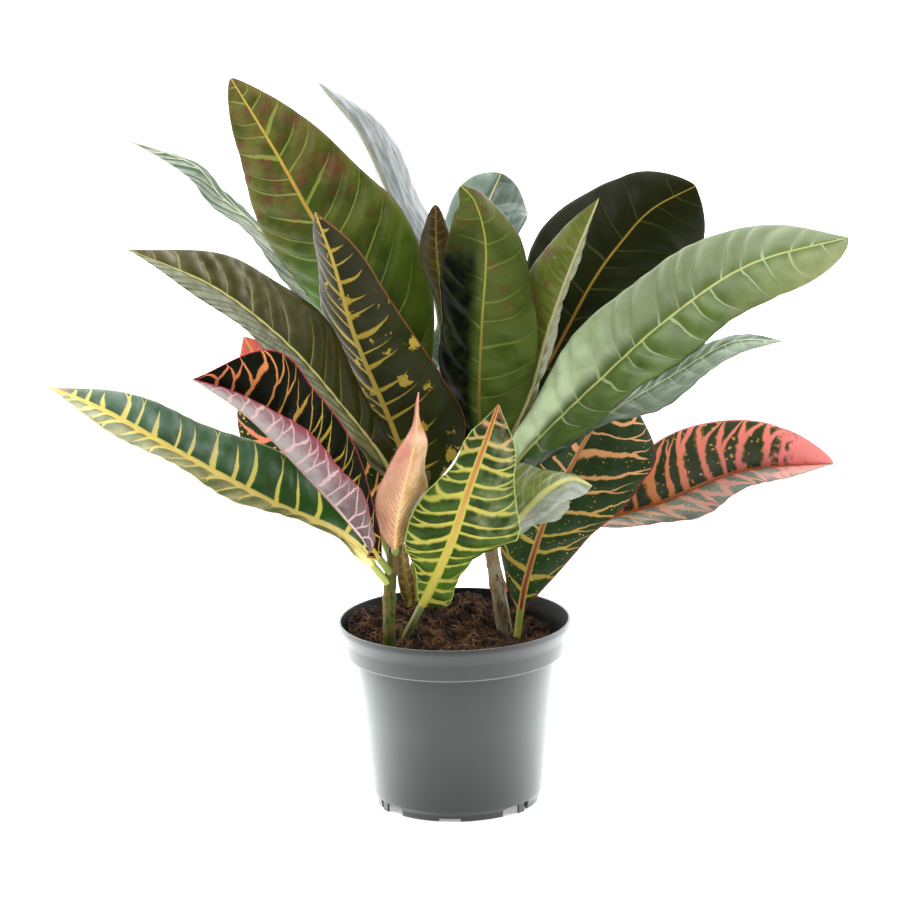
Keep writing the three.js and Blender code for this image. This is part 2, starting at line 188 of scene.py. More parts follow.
def cappedFaces(rows, sides):
    # the quads of a tube of closed rings, and one face over each of its two ends
    faces = gridFaces(rows, sides, closed=True).tolist()
    faces.append(list(range(sides))[::-1])
    faces.append([(rows - 1) * sides + k for k in range(sides)])
    return faces


def makeMesh(name, points, faces, material, smooth=True):
    mesh = bpy.data.meshes.new(name)
    mesh.from_pydata(np.asarray(points, float).reshape(-1, 3), [], [tuple(face) for face in faces])
    mesh.polygons.foreach_set("use_smooth", np.full(len(mesh.polygons), smooth))
    mesh.materials.append(material)
    piece = bpy.data.objects.new(name, mesh)
    scene.collection.objects.link(piece)
    return piece


def standFor(piece, node):
    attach(piece, "root")
    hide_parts(node)


def valueNoise(x, y, cell, seed):
    # smooth random hills: random heights on a square net, blended between the net's corners
    net = 64
    heights = np.random.default_rng(seed).random((net, net))
    column, row = x / cell, y / cell
    i, j = np.floor(column).astype(int), np.floor(row).astype(int)
    u, v = column - i, row - j
    u, v = u * u * (3 - 2 * u), v * v * (3 - 2 * v)

    def corner(a, b):
        return heights[a % net, b % net]

    near = corner(i, j) * (1 - u) + corner(i + 1, j) * u
    far = corner(i, j + 1) * (1 - u) + corner(i + 1, j + 1) * u
    return near * (1 - v) + far * v - 0.5


# Leaves
# line: points of the midrib. wide: half widths, of both halves or of each. left, right: degrees that each
# half leans to the front. stalk: share of bare stalk. wave: height, count and phase. bow: arch of each half.
# foot: half widths where the blade starts broad. blunt: how round each half ends.
# The look's colours: cell, cellTip and dark between the veins, then vein, rib, margin, tip, halo, speck,
# blotch and streak on them, stalkSkin on the stalk, and under for the lower face.
# Its veins: every is the gap between them on each half, which everyTip scales toward the tip. They lean and
# sweep, are veinWide at the midrib and the margin, and end by reach and taper. fork is where they split, and
# how far. show and showTip say how plain they are; soft, ragged, swell and warp make them uneven.
# Its halves: left and right are (tint, share, tint at the tip), and each Span is where the tint comes in. On
# several leaves the tint is painted sheen and on one it is a painted shadow, and a wave between the veins
# lays it heavier on one side of each pleat, as painted light and shade.
# Its shape: pleat is how high the blade rises between veins, and crimp how much its edge ripples.

plainLook = {
    "cell": "2c3a1c", "cellTip": "35401f", "dark": "141a0c", "darkShare": 0.35, "vein": "7d8a4a",
    "veinEdge": "6f7d45", "veinTip": None, "veinTipSpan": (0.25, 0.7), "veinWide": (0.8, 0.35),
    "every": (10, 10), "everyTip": 1.0, "lean": (0.3, 0.3), "sweep": 0.3, "reach": 0.95, "taper": 0.4,
    "fork": (2.0, 0.0), "show": 1.0, "showTip": 1.0, "soft": 0.3, "ragged": 0.2, "swell": 1.4, "warp": 0.18,
    "halo": "4a5a2c", "haloWide": 0.0, "rib": "a9a24c", "ribTip": "8c8a40", "ribEdge": "a9a24c",
    "ribWide": 3.0, "margin": "2a2a16", "marginWide": 0.5, "tip": "7a3a3a", "tipFrom": 1.3,
    "stalkSkin": "7c8a44", "speck": "c8a848", "speckle": 0.0, "speckleSize": 3.2, "speckWide": 0.5,
    "blotch": "4a2a22", "blotchShare": 0.0, "blotchSize": 26, "blotchFrom": -1.0, "left": ("8a968a", 0.0),
    "leftSpan": (-1, -0.9), "right": ("8a968a", 0.0), "rightSpan": (-1, -0.9), "pleatLight": 0.0,
    "streak": "d0d6d2", "streakShare": 0.0, "under": "6f7a62", "underMid": None, "underEdge": None,
    "underVein": "9aa588", "underFoot": None, "rough": 0.32, "gloss": 0.2, "pleat": 0.5, "crimp": 0.3,
    "seed": 1,
}

leaves = {
    "leaf_tall_left": {
        "line": [(-13, -3, 192), (-23, 18, 222), (-43, 36, 273), (-73, 48, 321), (-95, 60, 360),
                 (-119, 78, 398)],
        "wide": [[18, 33, 41, 33, 20], [23, 38, 44, 35, 22]], "left": [-20, -38, 0], "right": [0, -8, -10],
        "stalk": 0.1, "blunt": (0.3, 0.2),
        "look": {
            "cell": "2c5406", "cellTip": "60582b", "dark": "1e3202", "darkShare": 0.6, "vein": "98a44c",
            "veinEdge": "8c9840", "veinWide": (0.7, 0.4), "every": (19, 22), "everyTip": 0.55,
            "lean": (0.5, 0.55), "show": 0.7, "showTip": 0.45, "soft": 0.4, "ragged": 0.15, "swell": 0.6,
            "warp": 0.1, "rib": "9a5a2a", "ribTip": "b8a048", "ribEdge": "8a7a30", "ribWide": 2.6,
            "margin": "4a2018", "speck": "b88a44", "speckle": 0.1, "speckleSize": 2.6, "blotch": "5a3424",
            "blotchShare": 0.75, "blotchSize": 13, "blotchFrom": 0.55, "left": ("34600a", 0.55),
            "leftSpan": (0.6, 0.4), "right": ("34340c", 0.5), "rightSpan": (0.5, 0.2), "under": "4a5834",
            "underEdge": "5c4436", "underVein": "7c8854", "rough": 0.3, "gloss": 0.08, "pleat": 3.2,
            "seed": 3,
        },
    },
    "leaf_striped_left": {
        "line": [(-20, -8, 152), (-23, -6, 180), (-31, -6, 213), (-51, -8, 266), (-62, -12, 310),
                 (-71, -22, 340)],
        "wide": [[20, 29, 30, 24, 15], [37, 36, 31, 24, 15]], "left": [-40, -60, -45],
        "right": [-10, -5, 0], "stalk": 0.1,
        "look": {
            "cell": "2c3412", "cellTip": "33321f", "dark": "0a0e06", "vein": "a8903a", "veinEdge": "9c8a38",
            "veinWide": (1.1, 0.6), "every": (9.5, 10.5), "lean": (1.0, 0.12), "reach": 0.72, "taper": 0.5,
            "ragged": 0.3, "swell": 0.8, "warp": 0.12, "rib": "b8964a", "ribTip": "b8a050",
            "ribEdge": "a89a48", "ribWide": 2.9, "margin": "7a4a2a", "marginWide": 1.0, "speck": "a8903a",
            # the grey tint over the left half is painted sheen
            "speckle": 0.28, "speckleSize": 9, "speckWide": 1.6, "left": ("5c5a56", 0.55),
            "leftSpan": (0.6, 0.92), "under": "3c3f2a", "underEdge": "443c2c", "underVein": "7c7444",
            "gloss": 0.07, "pleat": 0.9, "seed": 5,
        },
    },
    "leaf_olive_left": {
        "line": [(-24, -20, 172), (-37, -20, 200), (-60, -27, 234), (-88, -38, 271), (-125, -50, 305),
                 (-170, -60, 329)],
        "wide": [16, 28, 34, 28, 17], "left": [75, 80, 78], "right": [-50, -54, -50], "stalk": 0.08,
        "bow": 0.04,
        "look": {
            "cell": "1e2604", "cellTip": "444018", "dark": "221f06", "vein": "78763c", "veinEdge": "7c7c48",
            "veinWide": (0.5, 0.35), "every": (11, 15), "lean": (1.6, 0.45), "show": 0.38, "soft": 0.6,
            "ragged": 0.15, "swell": 0.6, "warp": 0.1, "rib": "a3a070", "ribTip": "9a9468", "ribWide": 2.4,
            # the pale tints over both halves are painted sheen, laid heavier on one side of each pleat
            "blotch": "4f2a20", "blotchShare": 0.35, "left": ("84805a", 0.4, "808470"),
            "right": ("a09c88", 0.1), "rightSpan": (0.35, 0.7), "pleatLight": 0.8, "under": "54583c",
            "underEdge": "4c4c34", "underVein": "84846c", "gloss": 0.12, "pleat": 2.8, "crimp": 0.1,
            "seed": 7,
        },
    },
    "leaf_narrow_left": {
        "line": [(-10, 3, 200), (-23, 34, 212), (-37, 66, 234), (-79, 89, 277), (-108, 100, 309),
                 (-128, 104, 326), (-143, 107, 344), (-180, 112, 358)],
        "wide": [10, 17, 19, 18, 14], "left": [75, 76, 70], "right": [-90, -92, -90], "stalk": 0.1,
        "bow": 0,
        "look": {
            "cell": "16301a", "cellTip": "1c3c24", "dark": "122a18", "vein": "a4ac90", "veinEdge": "b0b8a0",
            "veinWide": (0.8, 0.5), "every": (12, 12), "lean": (1.5, 1.5), "soft": 0.6, "warp": 0.1,
            "rib": "90a078", "ribTip": "98a484", "ribWide": 2.6, "margin": "a0a894", "marginWide": 0.8,
            # the pale tints over both halves are painted sheen, laid heavier on one side of each pleat
            "left": ("98a090", 0.4), "right": ("7e8e78", 0.35), "pleatLight": 0.9, "streak": "a8b0a0",
            "streakShare": 0.1, "under": "3c5040", "underEdge": "44584a", "underVein": "7c8c78",
            "rough": 0.45, "gloss": 0.06, "pleat": 0.9, "seed": 9,
        },
    },
    "leaf_pale_left": {
        "line": [(-8, 12, 208), (-9, 29, 218), (-4, 41, 231), (-9, 54, 280), (-30, 66, 328),
                 (-48.5, 78, 367), (-71, 86, 394)],
        "wide": [11, 18, 26, 26, 19], "left": [-95, -95, -76], "right": [-66, -58, -59], "stalk": 0.12,
        "look": {
            # its silvery grey cells, whitish margin and pale streaks are painted sheen
            "cell": "646c70", "cellTip": "787e80", "dark": "56605e", "darkShare": 0.9, "vein": "a4aca6",
            "veinEdge": "98a29c", "veinWide": (0.7, 0.4), "every": (16, 16), "lean": (1.2, 1.2),
            "show": 0.12, "showTip": 0.12, "soft": 0.8, "rib": "a4aa9c", "ribTip": "9ca698", "ribWide": 2.4,
            "margin": "b0b6b2", "marginWide": 0.8, "streak": "c4cac8", "streakShare": 0.35,
            "under": "5c6c64", "underEdge": "66746c", "underVein": "8c9890", "gloss": 0.3, "pleat": 0.6,
            "seed": 11,
        },
    },
    "leaf_young": {
        "line": [(-4, 16, 214), (-1, 17, 232), (-3, 17, 262), (-4, 16, 288), (-6, 16, 310), (-6, 14, 336)],
        "wide": [3, 6, 9, 9, 6], "left": [10, 10, 10], "right": [-20, -20, -20], "stalk": 0.45,
        "wave": (0.8, 2, 0), "blunt": (0.5, 0.5),
        "look": {
            "cell": "4a4c1e", "cellTip": "48301a", "darkShare": 0.6, "vein": "5a5a28", "veinEdge": "4a3a1c",
            "every": (6, 6), "show": 0.1, "rib": "4a3a1a", "ribTip": "6a3020", "ribWide": 1.0,
            "stalkSkin": "4c4a22", "pleat": 0.4, "seed": 13,
        },
    },
    "leaf_back": {
        "line": [(22, 14, 200), (27, 66, 233), (21, 104, 271), (22, 130, 306), (32, 150, 328)],
        "wide": [[11, 21, 26, 26, 22], [9, 15, 16, 22, 25]], "left": [-40, -30, -5], "right": [30, 45, 5],
        "stalk": 0.1, "blunt": (0.7, 0.9),
        "look": {
            "cell": "223626", "cellTip": "3e5244", "dark": "203024", "vein": "788a7c", "veinEdge": "6c8074",
            "veinWide": (0.5, 0.3), "every": (14, 14), "lean": (0.35, 0.35), "show": 0.3, "showTip": 0.3,
            "soft": 0.7, "ragged": 0.15, "rib": "8c906c", "ribTip": "c0b480", "ribWide": 2.2,
            "left": ("86988a", 0.6), "streakShare": 0.1, "under": "3c5040", "underEdge": "44584a",
            "underVein": "7c8c78", "pleat": 2.4, "seed": 15,
        },
    },
    "leaf_upright": {
        "line": [(21, 12, 180), (16, -4, 222), (18, -12, 271), (21, -18, 317), (16, -18, 342),
                 (8, -16, 352)],
        "wide": [22, 30, 31, 27, 20], "left": [-40, -42, 0], "right": [0, -12, -65], "stalk": 0.08,
        "blunt": (0.3, 0.3),
        "look": {
            "cell": "465820", "cellTip": "4c5228", "dark": "2c3a08", "darkShare": 0.6, "vein": "7a8c40",
            "veinEdge": "6c7c34", "veinWide": (0.5, 0.4), "every": (16, 15), "lean": (0.3, 0.12),
            "show": 0.6, "showTip": 0.3, "soft": 0.7, "ragged": 0.15, "swell": 0.6, "warp": 0.1,
            "rib": "6c2c22", "ribTip": "a4a03c", "ribEdge": "5a6428", "ribWide": 1.7, "margin": "4a3a20",
            "speckle": 0.03, "speckleSize": 5, "blotch": "5a2a1c", "blotchShare": 0.55, "blotchSize": 14,
            # the near-black tint over the lower left half is a painted shadow
            "blotchFrom": 0.6, "left": ("070b05", 0.95), "leftSpan": (0.92, 0.68), "under": "3a4826",
            "underEdge": "4a4a2c", "underVein": "6c7848", "gloss": 0.04, "pleat": 2.4, "seed": 17,
        },
    },
    "leaf_mottled": {
        "line": [(21, 12, 184), (43, 8, 226), (55, 4, 267), (68, 0, 304), (83, -4, 341)],
        "wide": [[14, 23, 27, 22, 14], [12, 18, 20, 16, 10]], "left": [-20, -35, -30],
        "right": [-65, -78, -75], "stalk": 0.1,
        "look": {
            "cell": "505b16", "cellTip": "585d1e", "dark": "34480f", "vein": "8c9458", "veinEdge": "7c8450",
            "veinWide": (0.5, 0.4), "show": 0.25, "showTip": 0.25, "soft": 0.7, "swell": 0.6,
            "rib": "b0a87c", "ribTip": "b4ac8c", "ribWide": 1.8, "blotch": "5c3420", "blotchShare": 0.5,
            "blotchSize": 11, "right": ("50523c", 0.85, "747858"), "under": "4c5830", "underEdge": "5a4a34",
            "underVein": "7c8458", "rough": 0.28, "gloss": 0.25, "pleat": 2.2, "seed": 19,
        },
    },
    "leaf_dark_right": {
        "line": [(22, 14, 194), (54, 45, 236), (80, 58, 280), (98, 70, 302), (116, 78, 319),
                 (141, 87, 330)],
        "wide": [[9, 19, 40, 40, 27], [16, 30, 38, 43, 47]], "left": [0, -24, -30], "right": [-20, -10, 0],
        "stalk": 0.1, "blunt": (0.35, 1),
        "look": {
            "cell": "151d0a", "cellTip": "1e200c", "dark": "0a1005", "vein": "565a28", "veinEdge": "383c18",
            "veinWide": (0.45, 0.3), "every": (18, 16), "lean": (0.3, 0.75), "sweep": 0.1, "show": 0.5,
            "showTip": 0.25, "soft": 0.7, "ragged": 0.15, "swell": 0.5, "warp": 0.1, "rib": "7c3c1c",
            "ribTip": "8c8038", "ribEdge": "4a4018", "ribWide": 2.0, "margin": "4a2418",
            "right": ("181f0a", 0.3), "under": "2c3620", "underEdge": "343420", "underVein": "505434",
            "gloss": 0.06, "pleat": 1.6, "seed": 21,
        },
    },
    "leaf_long_right": {
        "line": [(21, 12, 170), (42, -4, 200), (82, -20, 243), (120, -36, 281), (162, -54, 313),
                 (213, -70, 330)],
        "wide": [[21, 34, 36, 32, 25], [21, 35, 37, 29, 23]], "left": [-42, -50, -66],
        "right": [75, 69, 20], "stalk": 0.07, "bow": 0.05, "blunt": (0, 0.7),
        "look": {
            "cell": "284208", "cellTip": "5c6c34", "dark": "162c02", "vein": "a0ac80", "veinEdge": "94a076",
            "veinWide": (0.6, 0.35), "every": (17, 19), "everyTip": 0.8, "lean": (0.1, 0.35), "show": 0.5,
            "showTip": 0.7, "soft": 0.4, "ragged": 0.15, "swell": 0.5, "warp": 0.1, "rib": "a8ac62",
            "ribTip": "a0a068", "ribEdge": "7e8c48", "ribWide": 2.1, "blotch": "5e504a", "blotchShare": 0.3,
            # the pale tint over the left half is a painted highlight
            "blotchFrom": 0.5, "left": ("c8dcae", 0.9, "667250"), "right": ("8c9468", 0.8),
            "rightSpan": (0.68, 1.0), "under": "566646", "underEdge": "5c6a4c", "underVein": "8c9a74",
            "pleat": 3.8, "seed": 23,
        },
    },
    "leaf_silver_right": {
        "line": [(21, 12, 159), (52, 8, 195), (88, 4, 219), (121, -2, 240), (154, -8, 260),
                 (182, -14, 262)],
        "wide": [[9, 19, 25, 24, 14], [9, 14, 26, 32, 18]], "left": [-90, -88, -80], "right": [88, 84, 72],
        "stalk": 0.07, "bow": 0,
        "look": {
            "cell": "1c3006", "cellTip": "4c6844", "dark": "0c2002", "darkShare": 0.5, "vein": "8c9c7c",
            "veinEdge": "7c8c70", "veinWide": (0.5, 0.4), "every": (12, 12), "show": 0.4, "soft": 0.7,
            # the silvery tint over the right half and the pale streaks are painted sheen
            "ragged": 0.15, "rib": "b0c09c", "ribTip": "a0b090", "ribWide": 2.0, "right": ("98a692", 0.6),
            "rightSpan": (0.2, 0.65), "streakShare": 0.15, "under": "485c40", "underEdge": "50644a",
            "underVein": "7c8e70", "gloss": 0.1, "pleat": 1.2, "seed": 25,
        },
    },
    "leaf_pink_tip_right": {
        "line": [(25, 12, 114), (52, 36, 132), (83, 38, 147), (117, 32, 159), (161, 22, 179),
                 (212, 6, 187)],
        "wide": [10, 27, 34, 31, 22], "left": [-30, -18, -16], "right": [112, 81, 90], "stalk": 0.2,
        "blunt": (0.4, 0),
        "look": {
            "cell": "384830", "cellTip": "42462f", "dark": "1b2418", "vein": "f0a858", "veinEdge": "f0986c",
            "veinTip": "f0847c", "veinWide": (2.0, 1.4), "every": (11, 12), "lean": (0.1, 0.5),
            "reach": 1.1, "fork": (0.5, 0.9), "ragged": 0.35, "swell": 1.6, "warp": 0.4, "halo": "c08c3c",
            "haloWide": 0.6, "rib": "dc7c44", "ribTip": "e87068", "ribEdge": "dc9060", "ribWide": 4.0,
            "margin": "c87068", "marginWide": 1.0, "tip": "f48c88", "tipFrom": 0.84, "stalkSkin": "c87a44",
            "speck": "cc9c48", "speckle": 0.42, "speckleSize": 2.8, "speckWide": 0.7,
            # the grey tint over the right half is painted sheen
            "right": ("8c968c", 0.5), "under": "4c5446", "underMid": "545048", "underEdge": "744848",
            "underVein": "b06c5c", "gloss": 0.16, "pleat": 1.2, "seed": 27,
        },
    },
    "leaf_orange_vein_right": {
        "line": [(31, -12, 62), (34, -2, 88), (40, 10, 120), (52, 19, 155), (66, 28, 181),
                 (80, 36, 204), (96, 41, 229)],
        "wide": [[17, 26, 31, 30, 24], [15, 25, 35, 40, 37]], "left": [-35, -8, 10], "right": [0, 22, 10],
        "stalk": 0.25,
        "look": {
            "cell": "2a4420", "cellTip": "34402c", "dark": "0c1a08", "vein": "c4b050", "veinEdge": "b4903e",
            "veinTip": "e0a070", "veinWide": (1.2, 0.85), "every": (12, 12.5), "lean": (0.35, 0.3),
            "reach": 1.05, "fork": (0.7, 1.0), "show": 0.75, "showTip": 1.1, "swell": 1.0, "warp": 0.4,
            "halo": "5a6a20", "haloWide": 0.3, "rib": "7c3424", "ribTip": "cc8468", "ribEdge": "b89850",
            "ribWide": 3.6, "margin": "7c2028", "marginWide": 0.9, "stalkSkin": "8c9440", "speck": "b8a040",
            "speckle": 0.28, "speckleSize": 2.2, "speckWide": 0.7, "under": "38482c", "underMid": "3c482c",
            "underEdge": "54382c", "underVein": "9c7c50", "gloss": 0.12, "pleat": 1.0, "seed": 29,
        },
    },
    "leaf_small_folded": {
        "line": [(21, 12, 140), (37, -15, 164), (51, -27, 182), (65, -36, 192), (76, -44, 190)],
        "wide": [[20, 27, 25, 11, 3], [7, 10, 16, 18, 15]], "left": [-25, -30, -40], "right": [80, 50, 30],
        "stalk": 0.2, "blunt": (0, 0.9),
        "look": {
            "cell": "7c8a34", "cellTip": "788048", "dark": "4a5018", "darkShare": 0.5, "vein": "9cac70",
            "veinEdge": "b4c0a0", "veinWide": (0.5, 0.4), "every": (7, 6), "lean": (0.9, 1.4), "show": 0.25,
            "showTip": 0.6, "soft": 0.6, "ragged": 0.15, "rib": "c4c05c", "ribTip": "c8c070",
            "ribEdge": "b4b468", "ribWide": 4.6, "left": ("4c4e14", 0.35), "leftSpan": (0.5, 0.15),
            "right": ("5c5e44", 0.75, "8c9388"), "streakShare": 0.3, "under": "8c967c",
            "underMid": "7c8870", "underEdge": "8c9484", "underVein": "b8b880", "gloss": 0.25, "pleat": 1.2,
            "seed": 31,
        },
    },
    "leaf_front_yellow": {
        "line": [(-40, -4, 70), (-29, -14, 95), (-14, -30, 128), (-1, -46, 161), (9, -57, 193),
                 (19, -61, 221), (26, -58, 240)],
        "wide": [[11, 23, 26, 20, 12, 10], [15, 23, 35, 30, 23, 16]], "left": [0, 4, -36],
        "right": [-40, -15, -10], "stalk": 0.3, "wave": (4, 2.5, 0.1), "foot": (3, 14),
        "look": {
            "cell": "4a661c", "cellTip": "22301f", "dark": "1c2c0c", "darkShare": 0.8, "vein": "b8aa4c",
            "veinEdge": "a4a04c", "veinTip": "b8806c", "veinTipSpan": (0.7, 0.98), "veinWide": (1.2, 0.6),
            "every": (9, 8.5), "lean": (-0.5, -0.1), "reach": 1.15, "fork": (0.6, 0.8), "show": 0.9,
            "showTip": 0.9, "soft": 0.45, "ragged": 0.4, "swell": 1.2, "warp": 0.25, "halo": "748434",
            "haloWide": 0.5, "rib": "bcb454", "ribTip": "a83c3c", "ribEdge": "a8a844", "ribWide": 5.0,
            "margin": "98a858", "marginWide": 0.9, "tip": "6c4440", "tipFrom": 0.95, "stalkSkin": "7c8450",
            "right": ("c4c494", 0.06), "rightSpan": (0.35, 0.55), "under": "56682f", "underEdge": "68743c",
            "underVein": "a4a454", "gloss": 0.07, "pleat": 2.0, "crimp": 0.9, "seed": 33,
        },
    },
    "leaf_front_pink": {
        "line": [(-32, -31, 149), (-31, -48, 168), (-27, -54, 190), (-20, -52, 217), (-17, -48, 245)],
        "wide": [[11, 14, 13, 8, 3], [14, 23, 22, 12, 3]], "left": [-20, -25, -40],
        "right": [-50, -58, -20], "stalk": 0.1,
        "look": {
            "cell": "d8b078", "cellTip": "ecc2a6", "dark": "a8803c", "darkShare": 0.8, "vein": "54481a",
            "veinEdge": "6c5424", "veinWide": (0.6, 0.5), "every": (3.2, 3.6), "lean": (1.4, 1.2),
            "reach": 1.1, "show": 1.1, "showTip": -0.7, "soft": 0.5, "ragged": 1.3, "swell": 2.0,
            "warp": 1.8, "rib": "d8b070", "ribTip": "eca898", "ribEdge": "dcae74", "ribWide": 1.4,
            "margin": "a85058", "marginWide": 1.1, "blotch": "cc7468", "blotchShare": 0.4, "blotchSize": 16,
            "left": ("d08c80", 0.5), "right": ("8a6c34", 0.6), "rightSpan": (0.55, 0.25), "under": "dca084",
            "underMid": "6f7a62", "underEdge": "6f7a62", "underVein": "ecc0a4", "seed": 35,
        },
    },
    "leaf_purple_left": {
        "line": [(-34, -33, 139), (-50, -54, 168), (-76, -69, 203), (-107, -83, 241), (-136, -92, 265)],
        "wide": [[15, 28, 34, 31, 24], [14, 26, 33, 35, 36]], "left": [128, 132, 122],
        "right": [-10, -14, -8], "stalk": 0.1, "bow": 0.04,
        "look": {
            "cell": "0e1606", "cellTip": "12140a", "dark": "080d04", "vein": "b89838", "veinEdge": "b0983c",
            "veinTip": "d07850", "veinTipSpan": (0.5, 0.95), "veinWide": (0.75, 0.6), "every": (9, 10),
            "lean": (0.3, 0.15), "reach": 1.05, "fork": (0.45, 1.2), "ragged": 0.3, "warp": 0.3,
            "halo": "5a4a18", "haloWide": 0.25, "rib": "c08a64", "ribTip": "c0605c", "ribWide": 2.4,
            # the pale grey of the lower face by the midrib is in part painted sheen
            "margin": "8c2c3c", "marginWide": 0.9, "speck": "a87c34", "speckle": 0.08, "under": "9a9292",
            "underMid": "80646a", "underEdge": "70343e", "underVein": "c8a8a8", "underFoot": "5c4c4c",
            "gloss": 0.04, "pleat": 1.6, "seed": 37,
        },
    },
    "leaf_broad_left": {
        "line": [(-33, -32, 145), (-46, -10, 170), (-72, -6, 203), (-96, -2, 237), (-113, 6, 266)],
        "wide": [[22, 37, 39, 34, 21], [19, 32, 34, 32, 22]], "left": [-30, -18, -20],
        "right": [10, 10, 10], "stalk": 0.12,
        "look": {
            "cell": "1c3010", "cellTip": "222612", "dark": "101c08", "vein": "d8a454", "veinEdge": "d8885c",
            "veinTip": "dc7460", "veinWide": (1.4, 0.9), "every": (13, 13), "lean": (0.25, 0.25),
            "reach": 1.0, "fork": (0.5, 1.0), "ragged": 0.4, "warp": 0.3, "halo": "7c7c30", "haloWide": 0.4,
            "rib": "d8a058", "ribTip": "e0806c", "ribWide": 3.2, "margin": "a85848", "tip": "c46050",
            "tipFrom": 0.85, "speck": "c8b048", "speckle": 0.35, "speckleSize": 2.8, "speckWide": 0.8,
            "under": "40482e", "underMid": "484430", "underEdge": "6c4034", "underVein": "ac7450",
            "gloss": 0.06, "seed": 39,
        },
    },
    "leaf_long_left": {
        "line": [(-34, -33, 132), (-59, -45, 163), (-99, -60, 187), (-146, -70, 218), (-185, -72, 243),
                 (-215, -66, 256)],
        "wide": [[9, 25, 28, 24, 16], [24, 31, 29, 24, 16]], "left": [105, 92, 72],
        "right": [-20, -46, -40], "stalk": 0.08,
        "look": {
            "cell": "24520c", "cellTip": "2c5024", "dark": "0f300a", "vein": "e4d860", "veinEdge": "d4d064",
            "veinTip": "e8d464", "veinWide": (1.45, 0.8), "every": (15, 17), "everyTip": 0.5,
            "lean": (0.5, 0.08), "sweep": 0.12, "reach": 0.92, "taper": 0.45, "fork": (0.8, 0.7),
            "soft": 0.25, "swell": 0.7, "warp": 0.12, "halo": "4c7428", "haloWide": 0.35, "rib": "f8e890",
            "ribTip": "ecc868", "ribEdge": "e4d874", "ribWide": 6.8, "margin": "b4b478", "marginWide": 0.9,
            "tip": "c08058", "tipFrom": 0.97, "stalkSkin": "a4a848", "speck": "b8b040", "speckle": 0.05,
            # the pale tints over both halves are painted sheen, laid heavier on one side of each pleat
            "speckleSize": 3, "left": ("c4b888", 0.32), "right": ("9cb0ac", 0.2), "rightSpan": (0.3, 0.6),
            "pleatLight": 0.5, "under": "4c6234", "underEdge": "586a40", "underVein": "a8a454", "rough": 0.3,
            "gloss": 0.5, "pleat": 1.4, "seed": 41,
        },
    },
    "leaf_silver_back": {
        "line": [(21, 12, 162), (6, 44, 205), (4, 58, 237), (4, 68, 265), (5, 76, 285)],
        "wide": [7, 13, 15, 13, 9], "left": [-20, -20, -20], "right": [-20, -20, -20], "stalk": 0.2,
        "look": {
            "cell": "44584c", "cellTip": "7c9088", "dark": "3c5648", "vein": "c0ccbc", "veinEdge": "b0bcac",
            "veinWide": (0.8, 0.6), "every": (8, 8), "fork": (0.4, 0.6), "soft": 0.5, "rib": "ccd4c0",
            "ribTip": "c0ccb4", "streakShare": 0.3, "under": "4c6256", "underEdge": "566c60",
            "underVein": "8c9c90", "gloss": 0.3, "seed": 43,
        },
    },
    "leaf_cream_back": {
        "line": [(21, 12, 178), (29, 29, 190), (38, 44, 201), (51, 60, 226), (63, 72, 249)],
        "wide": [6, 10, 12, 10, 6], "left": [-20, -20, -20], "right": [-20, -20, -20], "stalk": 0.2,
        "look": {
            "cell": "a89a4c", "cellTip": "b8a85c", "dark": "5a5a20", "darkShare": 0.5, "vein": "d8cc8c",
            "veinEdge": "ccc080", "every": (6, 6), "rib": "d8cc80", "ribTip": "c8b868", "under": "8c8450",
            "underVein": "b8ae74", "seed": 45,
        },
    },
    "leaf_low_brown": {
        "line": [(-30, 26, 70), (-25, 34, 99), (-26, 34, 112), (-28, 33, 126), (-29, 32, 142)],
        "wide": [4, 5, 5, 4, 3], "left": [20, 20, 20], "right": [20, 20, 20], "stalk": 0.44,
        "wave": (0.6, 2, 0),
        "look": {
            "cell": "8c6c44", "cellTip": "7c5a38", "vein": "a88c50", "veinEdge": "a88c50", "every": (5, 5),
            "rib": "c0b860", "ribTip": "9c6a3c", "margin": "c0b058", "marginWide": 0.6, "under": "6c5434",
            "underVein": "a0904c", "pleat": 0.2, "seed": 47,
        },
    },
    "leaf_low_green": {
        "line": [(-26, 40, 72), (-21, 47, 98), (-19, 49, 112), (-17, 51, 126), (-16, 53, 138)],
        "wide": [5, 7, 7, 6, 4], "left": [0, 0, 0], "right": [0, 0, 0], "stalk": 0.42, "wave": (0.8, 2, 0),
        "look": {
            "cell": "8ca838", "cellTip": "98b040", "vein": "a8b058", "veinEdge": "98a050", "every": (5, 5),
            "rib": "b8b858", "ribTip": "a8a850", "under": "6c843c", "underVein": "98a458", "pleat": 0.2,
            "seed": 49,
        },
    },
}

leafFine = {
    "alongStep": 1.7, "halfColumns": 18, "endRows": 12, "blade": 0.55, "thinEdge": 0.9, "stalkRadius": 2.1,
    "tipWidth": 0.35, "wave": (2, 3, 0), "bow": 0.08, "openedBy": 0.15, "footOpenedBy": 0.05,
    "pleatFrom": 4, "pleatFull": 14,  # half widths between which the pleats grow to their full height
}


def halfWidthAt(leaf, along, part):
    # a smooth run of half widths, opened at the foot and rounded off at a blunt end
    least = leafFine["tipWidth"]
    start = leafFine["stalkRadius"]
    wide = leaf["wide"][part] if isinstance(leaf["wide"][0], list) else leaf["wide"]
    foot = leaf.get("foot", (start, start))[part]
    plain = np.maximum(smoothThrough([foot, *wide, least], along), least)
    last = len(wide) / (len(wide) + 1)
    end = np.clip((along - last) / (1 - last), 0, 1)
    rounded = np.maximum(wide[-1] * np.sqrt(1 - end ** 2), least)
    width = plain + (rounded - plain) * leaf.get("blunt", (0, 0))[part] * (end > 0)
    return start + (width - start) * (smoothRise(along, 0, leafFine["footOpenedBy"]) if "foot" in leaf else 1)


